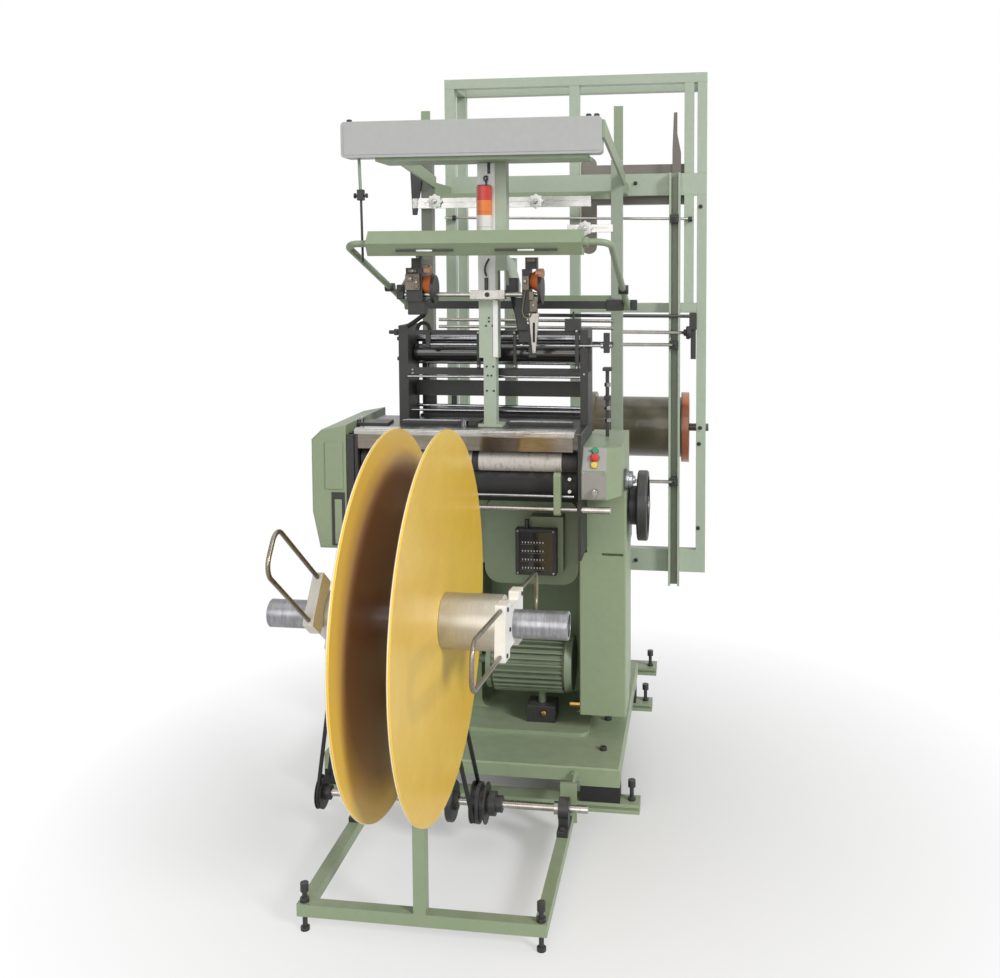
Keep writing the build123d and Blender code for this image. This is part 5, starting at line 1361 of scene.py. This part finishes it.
@dataclass
class FrontFittings(Fittings):
    """Rods before the rubber roller, panels of the control box, the counter and screws of the front."""

    digit_rows: tuple[float, ...] = (718, 691, 664, 638)
    plate_heads: tuple[Point, ...] = ((266, 700, 959), (266, 700, 923))
    dark_heads: tuple[Point, ...] = ((235, 696, 966), (235, 696, 870), (-387, 700, 929))
    slope_foot: Point = (0, 700, 982)
    slope: Vector = field(default_factory=lambda: Vector((0, 0.57518, 0.81803)))
    out: Vector = field(default_factory=lambda: Vector((0, -0.81803, 0.57518)))
    button_holes: tuple[tuple[float, float], ...] = ((65, 10.8), (42, 14.0), (19, 10.8))
    collar: tuple[tuple[float, float], ...] = (
        (0, 32), (2, 33), (10, 33), (11, 29), (15, 29), (16, 26), (25, 26), (27, 24), (27, 12), (33, 12),
        (34, 10), (34, 4),
    )

    def on_slope(self, across: float, along: float, proud: float) -> Vector:
        """Returns a place on the control box's sloping face, in millimetres."""
        return Vector(self.slope_foot) + RIGHT * across + self.slope * along + self.out * proud

    def panels(self) -> None:
        """Builds the grey plates of the control box, with holes round the buttons and the key."""
        shop, book = self.shop, self.shop.book
        tilt = math.atan2(self.slope.z, self.slope.y)
        upper = shop.slab("panel_upper", self.on_slope(336.5, 39, 0.6), (70, 74, 2.2), tilt, 0.5, 1)
        holes = [shop.rod("hole", self.on_slope(337, along, -9), self.on_slope(337, along, 9), radius, 32)
                 for along, radius in self.button_holes]
        shop.add(book.panel, shop.cut(upper, *holes))
        label = shop.slab("panel_label", self.on_slope(322, 65, 1.2), (9, 8, 2.0), tilt, 0.3, 1)
        shop.add(book.buttons["green"], label)
        lower = shop.block("panel_lower", (301.5, 698.2, 903), (371.5, 700.4, 981), 0.5, 1)
        shop.add(book.panel_low, shop.cut(lower, shop.rod("hole", (340, 690, 923), (340, 710, 923), 9.9, 32)))
        corners = [(x, 698.2, z) for z in (908, 976) for x in (306, 367)]
        shop.add(book.steel, shop.heads("panel_screws", corners, FRONT, 2.6, 12))

    def counter(self) -> None:
        """Builds the counter's dark casing, windows and digit marks."""
        shop, book = self.shop, self.shop.book
        shop.add(book.black, shop.block("counter_casing", (69.2, 902, 612.2), (198.8, 935.6, 757.8), 3.0),
                 shop.rod("counter_knob", (104, 920, 752), (104, 920, 784), 7.5))
        shop.add(book.dark_glass, shop.block("counter_face", (80, 900.6, 622), (188, 903, 748), 0.8))
        frames = [shop.block("counter_frames", (86, 899.4, z - 9), (164, 901.2, z - 7.6), 0.2, 1)
                  for z in self.digit_rows]
        shop.add(book.dull_steel, *frames)
        digit = shop.block("counter_digits", (91, 899.9, 713.5), (94, 901, 719), 0.2, 1)
        spots = [(9.2 * n, 0, z) for z in self.digit_rows for n in range(8)]
        shop.add(book.white, shop.spread(digit, spots))
        corners = [(x, 902, z) for x in (76.88, 189.12) for z in (619, 751)]
        shop.add(book.steel, shop.heads("counter_screws", corners, FRONT, 3.0, 12))

    def build(self) -> None:
        """Builds the front's fittings."""
        shop, book = self.shop, self.shop.book
        shop.add(book.chrome, shop.rod("front_rod", (-366, 712, 905), (278, 712, 905), 4.5))
        shop.add(book.mirror, shop.block("breast_face", (-366, 697.2, 1037), (276, 699.8, 1079), 0.8))
        shop.add(book.flat_steel, shop.block("breast_steps", (-377, 695.4, 1079.5), (281, 701, 1093)),
                 shop.block("breast_step_b", (-377, 704, 1091.5), (281, 724, 1095.5), 0.6),
                 shop.block("breast_step_c", (-377, 736, 1091.5), (281, 760, 1094), 0.6))
        shop.add(book.black, shop.block("plate_strips", (-401.4, 694, 736), (-378.4, 699.4, 1078)),
                 shop.block("cover_slot", (-447, 687.6, 744), (-406, 690.6, 905)))
        shop.add(book.green, shop.block("slot_cover", (-437, 686.4, 750), (-415, 688.4, 884), 0.8))
        self.panels()
        self.counter()
        shop.add(book.chrome, shop.turned("drive_collars", (411.5, 860, 930), RIGHT, self.collar, 40))
        hub = [(0, 20), (0.5, 58.6), (2, 60), (20, 60), (22.6, 58.6), (22.8, 20)]
        shop.add(book.black, shop.turned("drive_hub", (423.5, HAND_Y, HAND_Z), RIGHT, hub, 48),
                 body=Body.HAND_DRIVE)
        shop.add(book.white, shop.heads("plate_screws", self.plate_heads, FRONT, 5.0))
        shop.add(book.black, shop.heads("dark_screws", self.dark_heads, FRONT, 5.0))
        shop.add(book.black, shop.block("motor_foot", (101, 909, 139), (189, 913, 190), 1.5),
                 shop.block("motor_foot_side", (188, 909, 139), (192, 990, 190), 1.5),
                 shop.block("motor_foot_top", (101, 909, 188), (192, 990, 192), 1.5))
        knob = [(-1, 6), (4, 8), (8, 8), (10, 5)]
        shop.add(book.brass, shop.turned("foot_knob", (156, 909, 172), FRONT, knob, 20),
                 shop.rod("cover_stub", (240, 900, 210), (279, 900, 210), 9.0))


@dataclass
class CreelFrame(Fittings):
    """The creel's welded tubes, its heavy beam and arm, and the warp beam's bearing plates."""

    rails: tuple[Box, ...] = (
        ((-344, 1742, 2248), (655, 1782, 2284)), ((-344, 1742, 398), (655, 1782, 484)),
        ((-344, 1742, 1832), (655, 1782, 1914)), ((177, 1742, 1392), (619, 1782, 1428)),
        ((-360, 1742, 28), (-320, 1782, 398)), ((300, 1742, 28), (340, 1782, 398)),
        ((-344, 1950, 2248), (655, 1986, 2284)), ((-344, 1950, 398), (-308, 1986, 2248)),
        ((619, 1950, 398), (655, 1986, 2248)), ((-344, 1782, 2248), (-308, 1950, 2284)),
        ((619, 1782, 2248), (655, 1950, 2284)), ((-344, 1782, 398), (-308, 1950, 434)),
        ((619, 1782, 398), (655, 1950, 434)), ((208, 1782, 1802), (600, 1842, 1952)),
        ((178, 1782.4, 1645), (238, 1802, 1955)),
    )
    posts: tuple[Point, ...] = ((-344, -306, 484), (139, 177, 484), (571, 607, 1428), (619, 655, 484))
    arm_ends: tuple[float, ...] = (1645, 1955)
    bearings: tuple[float, ...] = (621, 150)

    def bearing(self, left: float) -> Piece:
        """Makes a bored plate that holds the warp beam's shaft.

        Args:
            left: Its left face in millimetres.

        Returns:
            The plate.
        """
        low, high = (left, 1782, BEAM_Z - 40), (left + 16, BEAM_Y + 40, BEAM_Z + 40)
        plate = self.shop.block("bearing_plate", low, high, 2.0)
        bore = self.shop.rod("hole", (left - 20, BEAM_Y, BEAM_Z), (left + 40, BEAM_Y, BEAM_Z), 15.4, 32)
        return self.shop.cut(plate, bore)

    def build(self) -> None:
        """Builds the frame that stands for the creel's node."""
        shop = self.shop
        made = [shop.block("creel_tubes", *rail) for rail in self.rails]
        made += [shop.block("creel_post", (left, 1742, low), (right, 1782, high))
                 for left, right, foot in self.posts for low, high in ((foot, 1832), (1914, 2248))]
        made += [shop.rod("arm_end", (208, 1783, z), (208, 1801.4, z), 30.0, 32) for z in self.arm_ends]
        made += [self.bearing(left) for left in self.bearings]
        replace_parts(shop.add(shop.book.creel, *made), "creel_frame")


@dataclass
class CreelFittings(Fittings):
    """Bolt heads on the creel's tubes and the base."""

    bolts: tuple[Point, ...] = ((389, 1742, 1879), (632, 1742, 1789), (634, 1742, 955), (630, 1742, 894),
                                (628, 1742, 570), (392, 1742, 438))
    base_bolts: tuple[Point, ...] = ((356, 770, 128), (352, 985, 128))

    def build(self) -> None:
        """Builds the creel's fittings."""
        shop, book = self.shop, self.shop.book
        head = shop.turned("creel_bolts", self.bolts[0], FRONT, [
            (-1, 8), (1, 8), (1, 6.5), (6, 6.5), (7, 5.5), (7, 3.2), (3, 3.2), (3, 0.4)], 12)
        shop.add(book.black, shop.spread(head, self.bolts))
        shop.add(book.black, shop.heads("base_bolts", self.base_bolts, UP, 11.0))


@dataclass
class Studio:
    """The floor, the lamps, the white surroundings and the camera."""

    place: Point = (651.9, -2369.2, 1586.1)
    right: Vector = field(default_factory=lambda: Vector((0.98916735, 0.14670632, -0.00502192)))
    up: Vector = field(default_factory=lambda: Vector((-0.00516043, 0.06894342, 0.99760722)))
    ahead: Vector = field(default_factory=lambda: Vector((-0.14670151, 0.98677457, -0.06895365)))
    focal: float = 1083.08
    centre: tuple[float, float] = (544.70, 336.61)
    size: tuple[int, int] = (1000, 978)
    sensor: float = 36.0
    middle: Point = (0.2, 0.1, 0.0)
    floor_fade: tuple[float, float] = (0.0, 1.5)

    def camera(self) -> None:
        """Sets the camera where the photograph was taken from."""
        data = bpy.data.cameras.new("photo_camera")
        data.sensor_width = self.sensor
        data.lens = self.sensor * self.focal / self.size[0]
        data.shift_x = (self.size[0] / 2 - self.centre[0]) / self.size[0]
        data.shift_y = (self.centre[1] - self.size[1] / 2) / self.size[0]
        data.clip_end = 60.0
        camera = placed("photo_camera", data)
        turn = Matrix((self.right, self.up, -self.ahead)).transposed().to_4x4()
        camera.matrix_world = Matrix.Translation(mm(*self.place)) @ turn
        bpy.context.scene.camera = camera

    @staticmethod
    def seen(desk: NodeDesk) -> Socket:
        """Returns 1 for rays that show the surroundings: straight, mirrored or through glass.

        Args:
            desk: The desk of the tree that asks.

        Returns:
            The share, 0 or 1.
        """
        rays = desk.add("LightPath").outputs
        first = desk.math("MAXIMUM", rays["Is Camera Ray"], rays["Is Glossy Ray"])
        return desk.math("MAXIMUM", first, rays["Is Transmission Ray"])

    def surroundings(self) -> None:
        """Makes the world white where it is seen and a soft grey where it lights."""
        world = bpy.data.worlds.new("soft_white")
        bpy.context.scene.world = world
        world.use_nodes = True
        world.node_tree.nodes.clear()
        desk = NodeDesk(world.node_tree)
        power = desk.band(self.seen(desk), 0.0, 1.0, 0.24, 1.0)
        light = desk.add("Background", Color=WHITE, Strength=power)
        desk.add("OutputWorld", light.outputs[0])

    def floor(self) -> None:
        """Lays a pale floor, half a millimetre under the feet, that fades to white away from the loom."""
        Workbench.start()
        bpy.ops.mesh.primitive_circle_add(vertices=96, radius=9.0, fill_type="NGON",
                                          location=(*self.middle[:2], -0.0005))
        floor = Workbench.settle("studio_floor")
        material, desk = blank("pale_floor")
        from_loom = desk.vector("DISTANCE", desk.place(), self.middle, output=1)
        fade = desk.math("MULTIPLY", desk.band(from_loom, *self.floor_fade), self.seen(desk))
        matt = desk.add("BsdfDiffuse", Color=srgb(228, 228, 228))
        glow = desk.add("Emission", Color=WHITE, Strength=1.0)
        both = desk.add("MixShader", fade, matt.outputs[0], glow.outputs[0])
        desk.add("OutputMaterial", both.outputs[0])
        floor.data.materials.append(material)

    @staticmethod
    def lamp(name: str, way: Point, spread: float, power: float) -> None:
        """Adds one soft, far lamp.

        Args:
            name: The lamp's name.
            way: The direction that it shines in.
            spread: Width of the lamp as an angle in degrees.
            power: Its strength.
        """
        data = bpy.data.lights.new(name, "SUN")
        data.angle = math.radians(spread)
        data.energy = power
        placed(name, data).rotation_euler = Vector(way).to_track_quat("-Z", "Y").to_euler()

    def build(self) -> None:
        """Builds the camera, the floor, the world and the lamps."""
        self.camera()
        self.surroundings()
        self.floor()
        self.lamp("key_lamp", (-0.85, 0.58, -0.56), 14.0, 2.05)
        self.lamp("fill_lamp", (0.1, 0.98, -0.35), 40.0, 0.95)
        self.lamp("top_lamp", (0.0, 0.15, -1.0), 60.0, 0.45)
        bpy.context.scene.view_settings.view_transform = "Standard"
        log.info("studio is set")


def main(frame: dict) -> None:
    """Builds the loom's finishes, fittings and studio in order.
    """
    logging.basicConfig(level=logging.INFO, format="%(name)s %(message)s")
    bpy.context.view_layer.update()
    shop = Shop(FinishBook(Effects()), frame["nodes"])
    Studio().build()
    for assembly in (FrameFinishes, HeaderFittings, YarnBars, ColumnFittings, LampFittings, HarnessFittings,
                     HeadFittings, TableFittings, ReelFittings, FrontFittings, CreelFrame, CreelFittings):
        assembly(shop).build()


if __name__ == "__main__":
    main(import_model())
